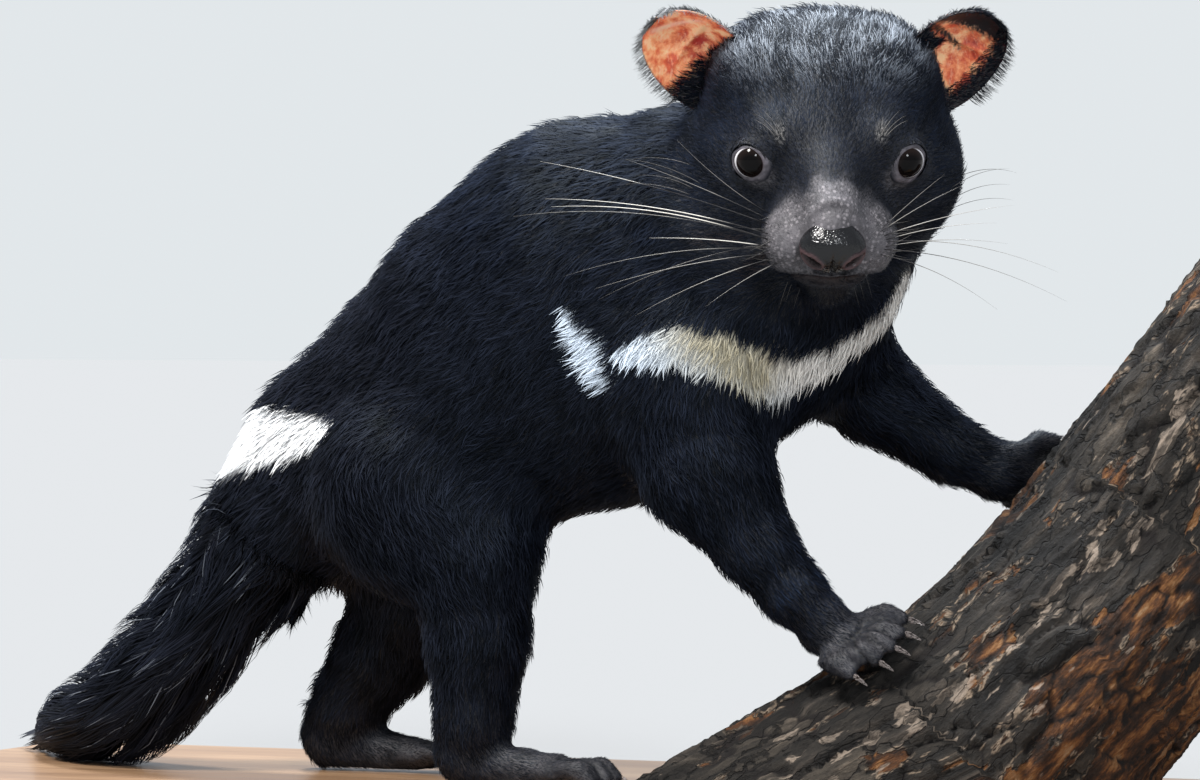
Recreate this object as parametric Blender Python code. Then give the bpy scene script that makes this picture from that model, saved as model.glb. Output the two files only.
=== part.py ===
# A young Tasmanian devil, life size, standing with both forefeet on a sloping log.
# The flesh is one signed distance field made of blobs and tapered limbs. Each piece of it
# is turned into a surface on its own grid and parted from its neighbours with thin cuts.
# Sizes and places are in millimetres, +X is the way the body faces, +Y its left, +Z up.

import math

import bmesh
import bpy
import numpy as np
from mathutils import Matrix, Vector

MM = 0.001
GAP = 0.3  # between touching solids
HALF_GAP = 0.5 * GAP
SNAP = 0.02  # points this near a cut are moved onto it

# Stand
BASE_SIZE = (586.0, 196.0, 12.0)
BASE_CENTRE = (-8.0, 26.0)  # under the animal and the log
BASE_EDGE = 2.5
FLOOR = BASE_SIZE[2]
SOLE = FLOOR + GAP
ROD_RADIUS = 5.0
ROD_AT = (226.0, 88.0)
ROD_TOP = 200.0  # inside the log, whose shape ends it

# Trunk: places of the spine with the radius there, and its width as a share of its depth
TRUNK = (
    (-108.0, -1.0, 136.5, 40.5),
    (-63.0, -3.0, 161.5, 51.0),
    (-30.0, -4.0, 177.0, 66.0),
    (3.0, -4.0, 192.0, 74.0),
    (38.0, -2.0, 201.0, 66.0),
    (58.0, 0.0, 211.0, 54.0),
)
LOIN_NARROWING, CHEST_NARROWING = 0.73, 0.81
BRISKET = (64.0, 3.0, 194.0, 34.0)
NECK = (
    (50.0, -1.0, 216.0, 50.0),
    (76.0, 9.0, 229.0, 47.0),
    (88.0, 4.0, 243.0, 43.0),
)

# Head, in its own frame: +X out of the nose, +Y its left, +Z out of the crown
HEAD_AT = (100.2, -20.8, 253.2)
HEAD_YAW = -64.5
HEAD_PITCH = -28.0
CRANIUM = ((-14.0, 0.0, 8.0), (42.0, 45.0, 40.0))
TEMPLE = ((-12.0, 21.0, 21.0), (30.0, 22.0, 24.0))
CHEEK = ((-2.0, 25.5, -8.5), (33.0, 27.0, 30.0))
JOWL = ((-8.0, 21.0, -27.0), (27.0, 22.5, 20.0))
FACE = ((12.0, 0.0, 4.0), (25.0, 39.0, 25.0))
BROW = ((19.0, 19.0, 17.0), (15.0, 13.0, 10.0))
BRIDGE = ((6.0, 0.0, 18.0, 20.0), (34.0, 0.0, 6.0, 13.5), (58.0, 0.0, -3.0, 9.5))
MUZZLE = ((16.0, 0.0, -8.0, 27.0), (38.0, 0.0, -12.0, 18.0), (51.0, 0.0, -13.0, 13.0))
WHISKER_PAD = ((43.0, 13.5, -15.0), (15.0, 12.0, 12.5))
JAW = ((-4.0, 0.0, -26.0, 24.0), (26.0, 0.0, -31.0, 16.0), (46.0, 0.0, -31.0, 10.5))
NOSE_PAD = ((61.0, 0.0, -9.0), (8.5, 11.2, 9.8))
NOSE_CUT_X = 58.5
NOSE_CUT_Y = 13.0
NOSE_CUT_Z = -20.5
NOSTRIL = ((67.0, 6.6, -11.5), (5.5, 2.4, 2.7))
MOUTH_DEPTH = 2.6
LIP_SWELL = 1.3
EYE_AT = (26.5, 27.3, 9.0)
EYE_RADIUS = 7.9
EYE_AIM = (0.87, 0.46, 0.09)
LID_RING = 7.1
LID_THICK = 2.1

# Ears, in the head's frame: root, size of the cup and the way it opens
EAR_ROOT = (-15.0, 41.5, 21.5)
EAR_RISE = (-0.10, 0.64, 0.75)
EAR_FACE = (0.93, 0.28, 0.10)
EAR_HEIGHT = 32.0
EAR_HALF_WIDTH = 17.5
EAR_CUP = 10.0
EAR_SUNK = 8.5  # how far its root runs into the head before it is cut to the head's surface
EAR_THICK = 2.0
EAR_CLEAR = 0.65  # from the flesh
EAR_SPACE = ((-60.0, 8.0, -30.0), (40.0, 84.0, 64.0))  # round the left ear, in the head's frame
EAR_STEP = 2.0

# Legs: joints with the radius there
FORE_RIGHT = (
    (48.0, -30.0, 170.0, 35.5),
    (60.5, -37.0, 134.0, 25.5),
    (79.5, -36.5, 106.0, 15.5),
    (92.0, -33.0, 89.5, 12.8),
    (101.5, -28.5, 79.5, 11.0),
)
FORE_LEFT = (
    (68.0, 32.0, 189.0, 31.5),
    (94.0, 46.0, 160.0, 18.5),
    (121.0, 58.0, 139.5, 13.5),
    (136.0, 66.0, 133.0, 11.0),
)
HIND_RIGHT = (
    (-68.0, -22.0, 130.0, 36.0),
    (-40.0, -26.5, 99.0, 24.5),
    (-38.5, -27.5, 68.0, 20.0),
    (-40.5, -27.0, 38.0, 15.5),
    (-45.0, -27.0, 26.0, 12.0),
)
HIND_LEFT = (
    (-92.0, 22.0, 126.0, 33.0),
    (-88.0, 28.0, 86.0, 26.0),
    (-105.0, 30.0, 60.0, 20.5),
    (-122.0, 30.0, 38.0, 15.5),
    (-130.0, 30.0, 26.0, 12.0),
)
THIGHS = (((-62.0, -24.0, 122.0), (44.0, 25.0, 40.0)), ((-92.0, 23.0, 118.0), (40.0, 24.0, 38.0)))

# Feet: where the middle of the hand or foot is, the way the toes point and the way its back faces
HAND_RIGHT = ((110.5, -25.5, 71.5), (0.87, -0.48, 0.05), (-0.36, -0.53, 0.77))
HAND_LEFT = ((141.5, 71.5, 129.5), (0.23, 0.94, 0.22), (-0.853, 0.08, 0.517))
FOOT_RIGHT = ((-14.0, -27.5, 20.0), (1.0, -0.02, 0.0), (0.0, 0.0, 1.0))
FOOT_LEFT = ((-99.0, 31.0, 20.0), (0.999, 0.03, 0.0), (0.0, 0.0, 1.0))
HAND_TOES = ((4.0, 13.0), (9.0, 6.6), (10.5, 0.0), (8.5, -6.6), (1.0, -13.0))  # knuckles, in the hand
FOOT_TOES = ((17.0, 8.4), (20.0, 2.8), (19.5, -3.0), (16.0, -8.6))
HAND_PALM = ((2.0, 0.0, 0.0), (12.0, 12.5, 6.6))
FOOT_PALM = ((11.0, 0.0, -1.0), (13.0, 11.0, 6.6))
HAND_HEEL = ((-9.0, 0.0, 3.5, 9.5), (2.0, 0.0, 0.5, 6.5))
FOOT_HEEL = ((-28.0, 0.0, 0.5, 9.5), (-6.0, 0.0, -0.5, 8.0), (10.0, 0.0, -1.0, 6.8))
HAND_TOE_LENGTH = 12.5
FOOT_TOE_LENGTH = 11.0
HAND_TOE_DROP = 2.8
FOOT_TOE_DROP = 2.6
TOE_RADIUS = 3.9
TOE_END_RADIUS = 3.35
CLAW_LENGTH = 7.0
CLAW_RADIUS = 1.5
CLAW_HOOK = 0.36  # how far its tip drops, as a share of its length

# Tail: its line over the ground, with the reach of the coat
TAIL = (
    (-133.0, 0.0, 115.0, 28.0),
    (-163.0, 3.5, 77.0, 26.0),
    (-192.0, 8.0, 45.5, 27.0),
    (-216.0, 17.0, 31.0, 23.5),
    (-242.0, 33.0, 27.0, 17.0),
    (-266.0, 54.0, 20.5, 8.0),
)

TAIL_SAMPLES = 25
TAIL_CORE = 0.6  # the core's share of the reach, which the bare root keeps whole
TAIL_BARE = 0.24
LOCK_ROWS, LOCKS_ROUND = 7, 7
LOCK_FIRST, LOCK_LAST = 0.12, 0.9  # where the first and the last row leave the tail
LOCK_LENGTH, LOCK_WIDTH, LOCK_THICK, LOCK_SUNK = 56.0, 21.0, 4.6, 3.0
LOCK_STATIONS = (0.0, 0.36, 0.7, 1.0)

# Log: its middle line with the radius there
LOG = (
    (44.0, -30.0, -38.0, 57.0),
    (89.0, -9.0, -10.0, 58.0),
    (137.0, 15.0, 17.0, 61.0),
    (171.0, 43.0, 60.0, 58.0),
    (200.0, 69.0, 102.0, 57.0),
    (225.0, 85.0, 142.0, 56.0),
    (252.0, 103.0, 187.0, 55.0),
)
LOG_SIDES = 22
LOG_RINGS = 17
BARK_RELIEF = 1.8
LOG_TOE = 33.0  # its thin end is cut off here, clear of the toes

# Cuts between the pieces: a place and the way away from the trunk
NECK_CUT = ((50.0, 0.0, 216.0), (0.80, -0.16, 0.58))
TAIL_CUT = ((-142.0, 1.0, 108.0), (-0.68, 0.07, -0.73))
HEAD_ZONE = ((21.0, 0.0, 5.0), (65.0, 63.0, 62.0))  # parts the head from the neck
KNEE_CUTS = {
    "right": ((-38.0, -27.0, 84.0), (0.1, 0.0, -1.0)),
    "left": ((-90.0, 29.0, 75.0), (-0.45, 0.0, -0.9)),
}
ANKLE_CUTS = {
    "right": ((-42.0, -27.0, 33.0), (0.0, 0.0, -1.0)),
    "left": ((-118.0, 30.0, 34.0), (-0.3, 0.0, -0.95)),
}
ELBOW_CUTS = {
    "right": ((65.0, -38.0, 119.0), (0.62, 0.05, -0.78)),
    "left": ((103.0, 50.0, 152.0), (0.78, 0.34, -0.53)),
}
WRIST_CUTS = {
    "right": ((100.0, -29.0, 81.0), (0.70, 0.25, -0.67)),
    "left": ((133.5, 64.5, 134.0), (0.85, 0.46, -0.27)),
}
HAND_BLOCKS = {"right": ((90, -54, 50), (138, 2, 94)), "left": ((122, 52, 108), (172, 110, 158))}
FOOT_BLOCKS = {"right": ((-62, -48, 8), (26, -7, 42)), "left": ((-142, 10, 8), (-50, 52, 44))}
SHANK_BLOCKS = {"right": ((-74, -66, 22), (4, -1, 96)), "left": ((-136, 2, 20), (-48, 68, 96))}
FOREARM_BLOCKS = {"right": ((40, -68, 58), (124, -6, 140)), "left": ((86, 28, 108), (160, 92, 180))}
# Blocks of space, steps of the grid and triangles of the pieces
BODY_FACES, SHANK_FACES, FOREARM_FACES, FOOT_FACES, HAND_FACES = 2500, 280, 260, 520, 520
NECK_FACES, HEAD_FACES, NOSE_FACES, TAIL_FACES = 700, 4500, 400, 620
BODY_BLOCK = ((-176, -76, 60), (146, 92, 292))
NECK_BLOCK = ((4, -84, 136), (150, 84, 308))
TAIL_BLOCK = ((-292, -34, 4), (-120, 74, 150))
HEAD_BLOCK = ((-56, -68, -66), (76, 68, 62))  # in the head's frame, as is the next
NOSE_BLOCK = ((54, -16, -26), (76, 16, 8))
BODY_STEP, NECK_STEP, TAIL_STEP, SHANK_STEP, FOREARM_STEP = 3.6, 3.4, 3.2, 2.4, 2.0
HEAD_STEP, NOSE_STEP, FOOT_STEP, HAND_STEP = 1.25, 0.8, 1.1, 1.05
ZONES = {  # the discs are (x, z, radius, inner y), and the number is the outer y
    "thigh_right": (((-66.0, 122.0, 45.0, -15.0), (-38.0, 70.0, 42.0, -3.0)), -90.0),
    "thigh_left": (((-90.0, 117.0, 43.0, 15.0), (-92.0, 64.0, 44.0, 4.0)), 90.0),
    "upper_arm_right": (((50.0, 165.0, 35.0, -17.0), (72.0, 112.0, 38.0, -8.0)), -90.0),
    "upper_arm_left": (((76.0, 174.0, 33.0, 17.0), (106.0, 140.0, 33.0, 21.0)), 100.0),
}


# Frames

def frame_of(forward, up):
    """Columns are the piece's own X, Y and Z, with Z as near to up as it can be."""
    x = Vector(forward).normalized()
    y = Vector(up).cross(x).normalized()
    return np.array([x, y, x.cross(y)]).T


def head_frame():
    turn = Matrix.Rotation(math.radians(HEAD_YAW), 3, "Z")
    return np.array(turn @ Matrix.Rotation(math.radians(-HEAD_PITCH), 3, "Y"))


HEAD_AXES = head_frame()


def from_head(place):
    return HEAD_AXES @ np.array(place) + np.array(HEAD_AT)


def mirrored(place, side):
    """side is 1 for the left and -1 for the right."""
    return (place[0], place[1] * side, place[2])


# Distance field

def length_of(rows):
    return np.sqrt(np.einsum("ij,ij->i", rows, rows))


def ball(points, centre, radii, axes=None):
    local = points - np.array(centre, np.float32)
    if axes is not None:
        local = local @ axes.astype(np.float32)
    scaled = local / np.array(radii, np.float32)
    near = length_of(scaled)
    steep = length_of(scaled / np.array(radii, np.float32))
    return near * (near - 1.0) / np.maximum(steep, 1e-5)


def limb(points, joints):
    """A chain of tapered rods through (x, y, z, radius) joints."""
    nearest = None
    for a, b in zip(joints, joints[1:]):
        start = np.array(a[:3], np.float32)
        along = np.array(b[:3], np.float32) - start
        share = np.clip((points - start) @ along / (along @ along), 0.0, 1.0)
        away = length_of(points - start - share[:, None] * along)
        distance = away - (a[3] + (b[3] - a[3]) * share)
        nearest = distance if nearest is None else blend(nearest, distance, 4.0)
    return nearest


def blend(a, b, reach):
    """The union of two fields with a fillet of about this reach."""
    overlap = np.maximum(reach - np.abs(a - b), 0.0) / reach
    return np.minimum(a, b) - overlap * overlap * reach * 0.25


def blend_all(fields, reach):
    whole = fields[0]
    for field in fields[1:]:
        whole = blend(whole, field, reach)
    return whole


def trunk_field(points):
    forward = np.clip((points[:, 0] - TRUNK[1][0]) / (TRUNK[4][0] - TRUNK[1][0]), 0.0, 1.0)
    narrowing = LOIN_NARROWING + (CHEST_NARROWING - LOIN_NARROWING) * forward
    wide = points.copy()
    wide[:, 1] = (points[:, 1] - TRUNK[1][1]) / narrowing + TRUNK[1][1]
    spine = limb(wide, TRUNK) * 0.85
    brisket = ball(points, BRISKET[:3], (BRISKET[3],) * 3)
    return blend(spine, brisket, 22.0)


def toe_joints(knuckle, length, drop):
    """Root, middle and end of a toe, in the hand's own frame."""
    x, y = knuckle
    return (x, y, 0.5), (x + 0.55 * length, y * 1.07, 0.8 - 0.25 * drop), (x + length, y * 1.16, -0.6 - drop)


def paw_field(points, paw, knuckles, length, drop, palm, heel):
    place, forward, up = paw
    axes = frame_of(forward, up)
    local = (points - np.array(place, np.float32)) @ axes.astype(np.float32)
    fields = [ball(local, palm[0], palm[1]), limb(local, heel)]
    for knuckle in knuckles:
        joints = toe_joints(knuckle, length, drop)
        radii = (TOE_RADIUS, TOE_RADIUS, TOE_END_RADIUS)
        fields.append(limb(local, [(*j, r) for j, r in zip(joints, radii)]))
    return blend_all(fields, 3.2)


def hand_field(points, paw):
    return paw_field(points, paw, HAND_TOES, HAND_TOE_LENGTH, HAND_TOE_DROP, HAND_PALM, HAND_HEEL)


def foot_field(points, paw):
    return paw_field(points, paw, FOOT_TOES, FOOT_TOE_LENGTH, FOOT_TOE_DROP, FOOT_PALM, FOOT_HEEL)


def legs_field(points):
    fields = [
        blend(limb(points, FORE_RIGHT), hand_field(points, HAND_RIGHT), 6.0),
        blend(limb(points, FORE_LEFT), hand_field(points, HAND_LEFT), 6.0),
    ]
    for leg, thigh, foot in ((HIND_RIGHT, THIGHS[0], FOOT_RIGHT), (HIND_LEFT, THIGHS[1], FOOT_LEFT)):
        haunch = blend(limb(points, leg), ball(points, *thigh), 16.0)
        fields.append(blend(haunch, foot_field(points, foot), 6.0))
    return fields


def mouth_height(x, y):
    """The line of the closed mouth: low in front, rising to the corner and down round the side."""
    return -24.5 + 0.0042 * (46.0 - x) ** 2 * (x < 46.0) - 0.010 * y * y * (x > 30.0)


def head_field(points):
    """The head without its ears, for points in its own frame."""
    fields = [ball(points, *CRANIUM), ball(points, *FACE)]
    fields += [limb(points, chain) for chain in (BRIDGE, MUZZLE, JAW)]
    for side in (1, -1):
        for centre, radii in (TEMPLE, CHEEK, JOWL, BROW, WHISKER_PAD):
            fields.append(ball(points, mirrored(centre, side), radii))
    head = blend_all(fields, 7.0)
    for side in (1, -1):
        centre = np.array(mirrored(EYE_AT, side))
        aim = np.array(mirrored(EYE_AIM, side))
        aim = aim / np.linalg.norm(aim)
        local = points - centre.astype(np.float32)
        along = local @ aim.astype(np.float32)
        across = length_of(local - along[:, None] * aim.astype(np.float32))
        ring = np.sqrt((across - LID_RING) ** 2 + (along - 3.6) ** 2) - LID_THICK
        stalk = np.maximum(across - LID_RING, np.abs(along) - 3.6)
        head = blend_all([head, ring, stalk], 2.6)
    x, y, z = points[:, 0], points[:, 1], points[:, 2]
    above = z - mouth_height(x, y)
    reach = np.clip((x - 20.0) / 14.0, 0.0, 1.0) * np.clip((70.0 - x) / 4.0, 0.0, 1.0)
    groove = MOUTH_DEPTH * np.exp(-((above / 1.4) ** 2))
    lips = LIP_SWELL * (np.exp(-(((above - 3.4) / 2.0) ** 2)) + np.exp(-(((above + 3.2) / 2.0) ** 2)))
    head = head + reach * (groove - lips)
    pad = ball(points, *NOSE_PAD)
    head = blend(head, pad, 1.6)
    for side in (1, -1):
        head = np.maximum(head, -ball(points, mirrored(NOSTRIL[0], side), NOSTRIL[1]))
    return head


def flesh(points):
    """Everything from the nose to the root of the tail, for points in millimetres."""
    points = points.astype(np.float32)
    body = blend(trunk_field(points), limb(points, NECK), 22.0)
    body = blend(body, limb(points, TAIL[:2]), 14.0)
    for leg in legs_field(points):
        body = blend(body, leg, 14.0)
    local = (points - np.array(HEAD_AT, np.float32)) @ HEAD_AXES.astype(np.float32)
    return blend(body, head_field(local), 9.0)


# Surfaces

def without_pinches(values, step):
    """Fills each grid face with only two diagonal corners inside, where two sheets would share an edge."""
    near, far = slice(None, -1), slice(1, None)
    pinched = True
    while pinched:
        pinched = False
        for axis in range(3):
            corners = []
            for u, v in ((near, near), (far, near), (far, far), (near, far)):
                at = [u, v]
                at.insert(axis, slice(None))
                corners.append(values[tuple(at)])
            inside = [corner < 0.0 for corner in corners]
            for k in (0, 1):
                alone = inside[k] & inside[k + 2] & ~inside[1 - k] & ~inside[(3 - k) % 4]
                if alone.any():
                    pinched = True
                    corners[1 - k][alone] = -0.1 * step
                    corners[(3 - k) % 4][alone] = -0.1 * step
    return values


def surface_of(field, low, high, step, axes=None, origin=(0.0, 0.0, 0.0)):
    """The zero surface of a field in a box, as vertices and quads, closed at the box's sides."""
    counts = [int(math.ceil((h - l) / step)) + 1 for l, h in zip(low, high)]
    ticks = [l + step * np.arange(n) for l, n in zip(low, counts)]
    grid = np.stack(np.meshgrid(*ticks, indexing="ij"), axis=-1).reshape(-1, 3)
    turned = grid if axes is None else grid @ axes.T
    values = field(turned + np.array(origin)).reshape(counts).astype(np.float64)
    for axis in range(3):
        edge = [slice(None)] * 3
        for end in (0, -1):
            edge[axis] = end
            values[tuple(edge)] = np.maximum(values[tuple(edge)], step)
    inside = without_pinches(values, step) < 0.0
    cells = [n - 1 for n in counts]
    total = np.zeros((*cells, 3))
    hits = np.zeros(cells, int)
    crossings = []
    for axis in range(3):
        here = [slice(None)] * 3
        there = [slice(None)] * 3
        here[axis], there[axis] = slice(None, -1), slice(1, None)
        a, b = values[tuple(here)], values[tuple(there)]
        at = np.argwhere(inside[tuple(here)] != inside[tuple(there)])
        share = a[tuple(at.T)] / (a[tuple(at.T)] - b[tuple(at.T)])
        place = at.astype(float)
        place[:, axis] += share
        crossings.append((at, inside[tuple(here)][tuple(at.T)]))
        others = [k for k in range(3) if k != axis]
        for i in (0, -1):
            for j in (0, -1):
                cell = at.copy()
                cell[:, others[0]] += i
                cell[:, others[1]] += j
                np.add.at(total, tuple(cell.T), place)
                np.add.at(hits, tuple(cell.T), 1)
    active = hits > 0
    index = np.cumsum(active).reshape(cells) - 1
    vertices = total[active] / hits[active][:, None] * step + np.array(low)
    quads = []
    for axis, (at, starts_inside) in enumerate(crossings):
        u, v = (axis + 1) % 3, (axis + 2) % 3
        ring = []
        for du, dv in ((-1, -1), (0, -1), (0, 0), (-1, 0)):
            cell = at.copy()
            cell[:, u] += du
            cell[:, v] += dv
            ring.append(index[tuple(cell.T)])
        ring = np.stack(ring, axis=1)
        quads.append(np.where(starts_inside[:, None], ring, ring[:, ::-1]))
    turned = vertices if axes is None else vertices @ axes.T
    return turned + np.array(origin), np.concatenate(quads)


def along_line(joints, count):
    """Points, radii and directions at even steps on a smooth curve through the joints."""
    knots = np.array(joints, float)
    ends = np.vstack([2 * knots[0] - knots[1], knots, 2 * knots[-1] - knots[-2]])
    samples = []
    for i in range(1, len(ends) - 2):
        for t in np.arange(0.0, 1.0, 0.05):
            a, b, c, d = ends[i - 1], ends[i], ends[i + 1], ends[i + 2]
            samples.append(0.5 * (2 * b + (c - a) * t + (2 * a - 5 * b + 4 * c - d) * t * t
                                  + (3 * b - a - 3 * c + d) * t ** 3))
    samples.append(knots[-1])
    samples = np.array(samples)
    lengths = np.concatenate([[0.0], np.cumsum(np.linalg.norm(np.diff(samples[:, :3], axis=0), axis=1))])
    at = np.linspace(0.0, lengths[-1], count)
    even = np.stack([np.interp(at, lengths, samples[:, k]) for k in range(4)], axis=1)
    ways = np.gradient(even[:, :3], axis=0)
    return even[:, :3], even[:, 3], ways / np.linalg.norm(ways, axis=1)[:, None]


def mesh_object(name, vertices, faces):
    """A new object from millimetres."""
    mesh = bpy.data.meshes.new(name)
    points = [tuple(v) for v in np.asarray(vertices, float) * MM]
    mesh.from_pydata(points, [], [tuple(map(int, f)) for f in faces])
    mesh.update()
    obj = bpy.data.objects.new(name, mesh)
    bpy.context.scene.collection.objects.link(obj)
    return obj


def apply_modifiers(obj):
    graph = bpy.context.evaluated_depsgraph_get()
    mesh = bpy.data.meshes.new_from_object(obj.evaluated_get(graph))
    obj.modifiers.clear()
    old = obj.data
    obj.data = mesh
    mesh.name = obj.name
    bpy.data.meshes.remove(old)


def thin_out(obj, faces):
    """Fewer triangles, about this many."""
    start = sum(len(p.vertices) - 2 for p in obj.data.polygons)
    if start > faces:
        reduce = obj.modifiers.new("Fewer", "DECIMATE")
        reduce.ratio = faces / start
        apply_modifiers(obj)


def keep_largest(obj):
    """Leaves only the closed surface of the greatest volume."""
    bm = bmesh.new()
    bm.from_mesh(obj.data)
    bm.verts.ensure_lookup_table()
    left = set(bm.verts)
    islands = []
    while left:
        stack = [left.pop()]
        island = set(stack)
        while stack:
            for edge in stack.pop().link_edges:
                for vert in edge.verts:
                    if vert in left:
                        left.remove(vert)
                        island.add(vert)
                        stack.append(vert)
        islands.append(island)

    def volume(island):
        faces = {face for vert in island for face in vert.link_faces}
        total = 0.0
        for face in faces:
            corners = [v.co for v in face.verts]
            for i in range(1, len(corners) - 1):
                total += corners[0].dot(corners[i].cross(corners[i + 1]))
        return total

    largest = max(islands, key=volume)
    bmesh.ops.delete(bm, geom=[v for v in bm.verts if v not in largest], context="VERTS")
    bm.to_mesh(obj.data)
    bm.free()


def slice_off(obj, place, normal, back=HALF_GAP):
    """Removes what lies past a plane, drawn back by half the gap, and closes the cut."""
    unit = Vector(normal).normalized()
    bm = bmesh.new()
    bm.from_mesh(obj.data)
    everything = bm.verts[:] + bm.edges[:] + bm.faces[:]
    point = (Vector(place) - unit * back) * MM
    plane = {"plane_co": point, "plane_no": unit}
    bmesh.ops.bisect_plane(bm, geom=everything, dist=SNAP * MM, clear_outer=True, **plane)
    bmesh.ops.remove_doubles(bm, verts=bm.verts[:], dist=SNAP * MM)
    rim = [edge for edge in bm.edges if edge.is_boundary]
    bmesh.ops.holes_fill(bm, edges=rim, sides=0)
    bmesh.ops.triangulate(bm, faces=bm.faces[:])
    bm.to_mesh(obj.data)
    bm.free()


def stand_on_base(obj):
    """Cuts a piece flat a gap above the base."""
    slice_off(obj, (0.0, 0.0, SOLE), (0.0, 0.0, -1.0), 0.0)


def combine(obj, other, operation):
    """One Boolean, applied. The other object is removed."""
    boolean = obj.modifiers.new("Cut", "BOOLEAN")
    boolean.operation = operation
    boolean.solver = "EXACT"
    boolean.object = other
    apply_modifiers(obj)
    bpy.data.objects.remove(other)


def grown(obj, amount):
    """A copy whose surface stands out by this much."""
    copy = bpy.data.objects.new(obj.name + "_grown", obj.data.copy())
    bpy.context.scene.collection.objects.link(copy)
    normals = [v.normal.copy() for v in copy.data.vertices]
    for vert, normal in zip(copy.data.vertices, normals):
        vert.co += normal * amount * MM
    return copy


def hull_of(name, points):
    """The convex hull of points in millimetres."""
    bm = bmesh.new()
    for point in points:
        bm.verts.new(Vector(point) * MM)
    bmesh.ops.convex_hull(bm, input=bm.verts[:], use_existing_faces=False)
    bmesh.ops.delete(bm, geom=[v for v in bm.verts if not v.link_faces], context="VERTS")
    mesh = bpy.data.meshes.new(name)
    bmesh.ops.recalc_face_normals(bm, faces=bm.faces[:])
    bm.to_mesh(mesh)
    bm.free()
    obj = bpy.data.objects.new(name, mesh)
    bpy.context.scene.collection.objects.link(obj)
    return obj


def leg_zone(name, discs, outer, spare):
    """The space that parts a leg from the trunk: the hull of two upright discs, (x, z, radius, inner y)."""
    points = []
    side = math.copysign(1.0, outer)
    for x, z, radius, inner in discs:
        for k in range(20):
            angle = 2 * math.pi * k / 20
            px = x + (radius + spare) * math.cos(angle)
            pz = z + (radius + spare) * math.sin(angle)
            points.append((px, inner - side * spare, pz))
            points.append((px, outer, pz))
    return hull_of(name, points)


# Materials

def material(name, colour, roughness, metallic=0.0):
    made = bpy.data.materials.new(name)
    made.use_nodes = True
    shader = made.node_tree.nodes["Principled BSDF"]
    shader.inputs["Base Color"].default_value = (*colour, 1.0)
    shader.inputs["Roughness"].default_value = roughness
    shader.inputs["Metallic"].default_value = metallic
    return made


def finish(obj, look, smooth=True):
    """Gives a piece its material and shading."""
    obj.data.materials.clear()
    obj.data.materials.append(look)
    if smooth:
        obj.data.shade_smooth()
        obj.data.set_sharp_from_angle(angle=math.radians(50))
    return obj


# Flesh

def flipped(cut):
    place, normal = cut
    return place, tuple(-n for n in normal)


def part_from_legs(piece, names):
    """Takes the legs' zones, with the gap, out of a piece."""
    for name in names:
        discs, outer = ZONES[name]
        combine(piece, leg_zone("zone", discs, outer, GAP), "DIFFERENCE")


def part_from(piece, other):
    """Takes another piece, with the gap, out of a piece."""
    combine(piece, grown(other, GAP), "DIFFERENCE")
    keep_largest(piece)


def body_pieces(fur):
    whole = mesh_object("torso", *surface_of(flesh, *BODY_BLOCK, BODY_STEP))
    thin_out(whole, BODY_FACES)
    pieces = {}
    for name, (discs, outer) in ZONES.items():
        piece = bpy.data.objects.new(name, whole.data.copy())
        bpy.context.scene.collection.objects.link(piece)
        combine(piece, leg_zone("zone", discs, outer, 0.0), "INTERSECT")
        pieces[name] = piece
    slice_off(whole, *NECK_CUT)
    slice_off(whole, *TAIL_CUT)
    part_from_legs(whole, ZONES)
    for side in ("right", "left"):
        slice_off(pieces["thigh_" + side], *KNEE_CUTS[side])
        slice_off(pieces["upper_arm_" + side], *ELBOW_CUTS[side])
    pieces["torso"] = whole
    for piece in pieces.values():
        keep_largest(piece)
        finish(piece, fur)
    return whole


def block_piece(name, low, high, step, faces, cuts, look):
    """One piece of flesh from its own block, cut by whole planes."""
    piece = mesh_object(name, *surface_of(flesh, low, high, step))
    keep_largest(piece)
    thin_out(piece, faces)
    for cut in cuts:
        slice_off(piece, *cut)
    keep_largest(piece)
    return finish(piece, look)


def leg_pieces(torso, fur):
    for side in ("right", "left"):
        knee, ankle = flipped(KNEE_CUTS[side]), ANKLE_CUTS[side]
        shank = block_piece("shank_" + side, *SHANK_BLOCKS[side], SHANK_STEP, SHANK_FACES, (knee, ankle), fur)
        part_from(torso, shank)
        elbow, wrist = flipped(ELBOW_CUTS[side]), WRIST_CUTS[side]
        block = FOREARM_BLOCKS[side]
        block_piece("forearm_" + side, *block, FOREARM_STEP, FOREARM_FACES, (elbow, wrist), fur)
    finish(torso, fur)


def foot_pieces(log, skin):
    for side in ("right", "left"):
        ankle, wrist = flipped(ANKLE_CUTS[side]), flipped(WRIST_CUTS[side])
        foot = block_piece("foot_" + side, *FOOT_BLOCKS[side], FOOT_STEP, FOOT_FACES, (ankle,), skin)
        stand_on_base(foot)
        hand = block_piece("hand_" + side, *HAND_BLOCKS[side], HAND_STEP, HAND_FACES, (wrist,), skin)
        part_from(hand, log)
        finish(hand, skin)


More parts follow.
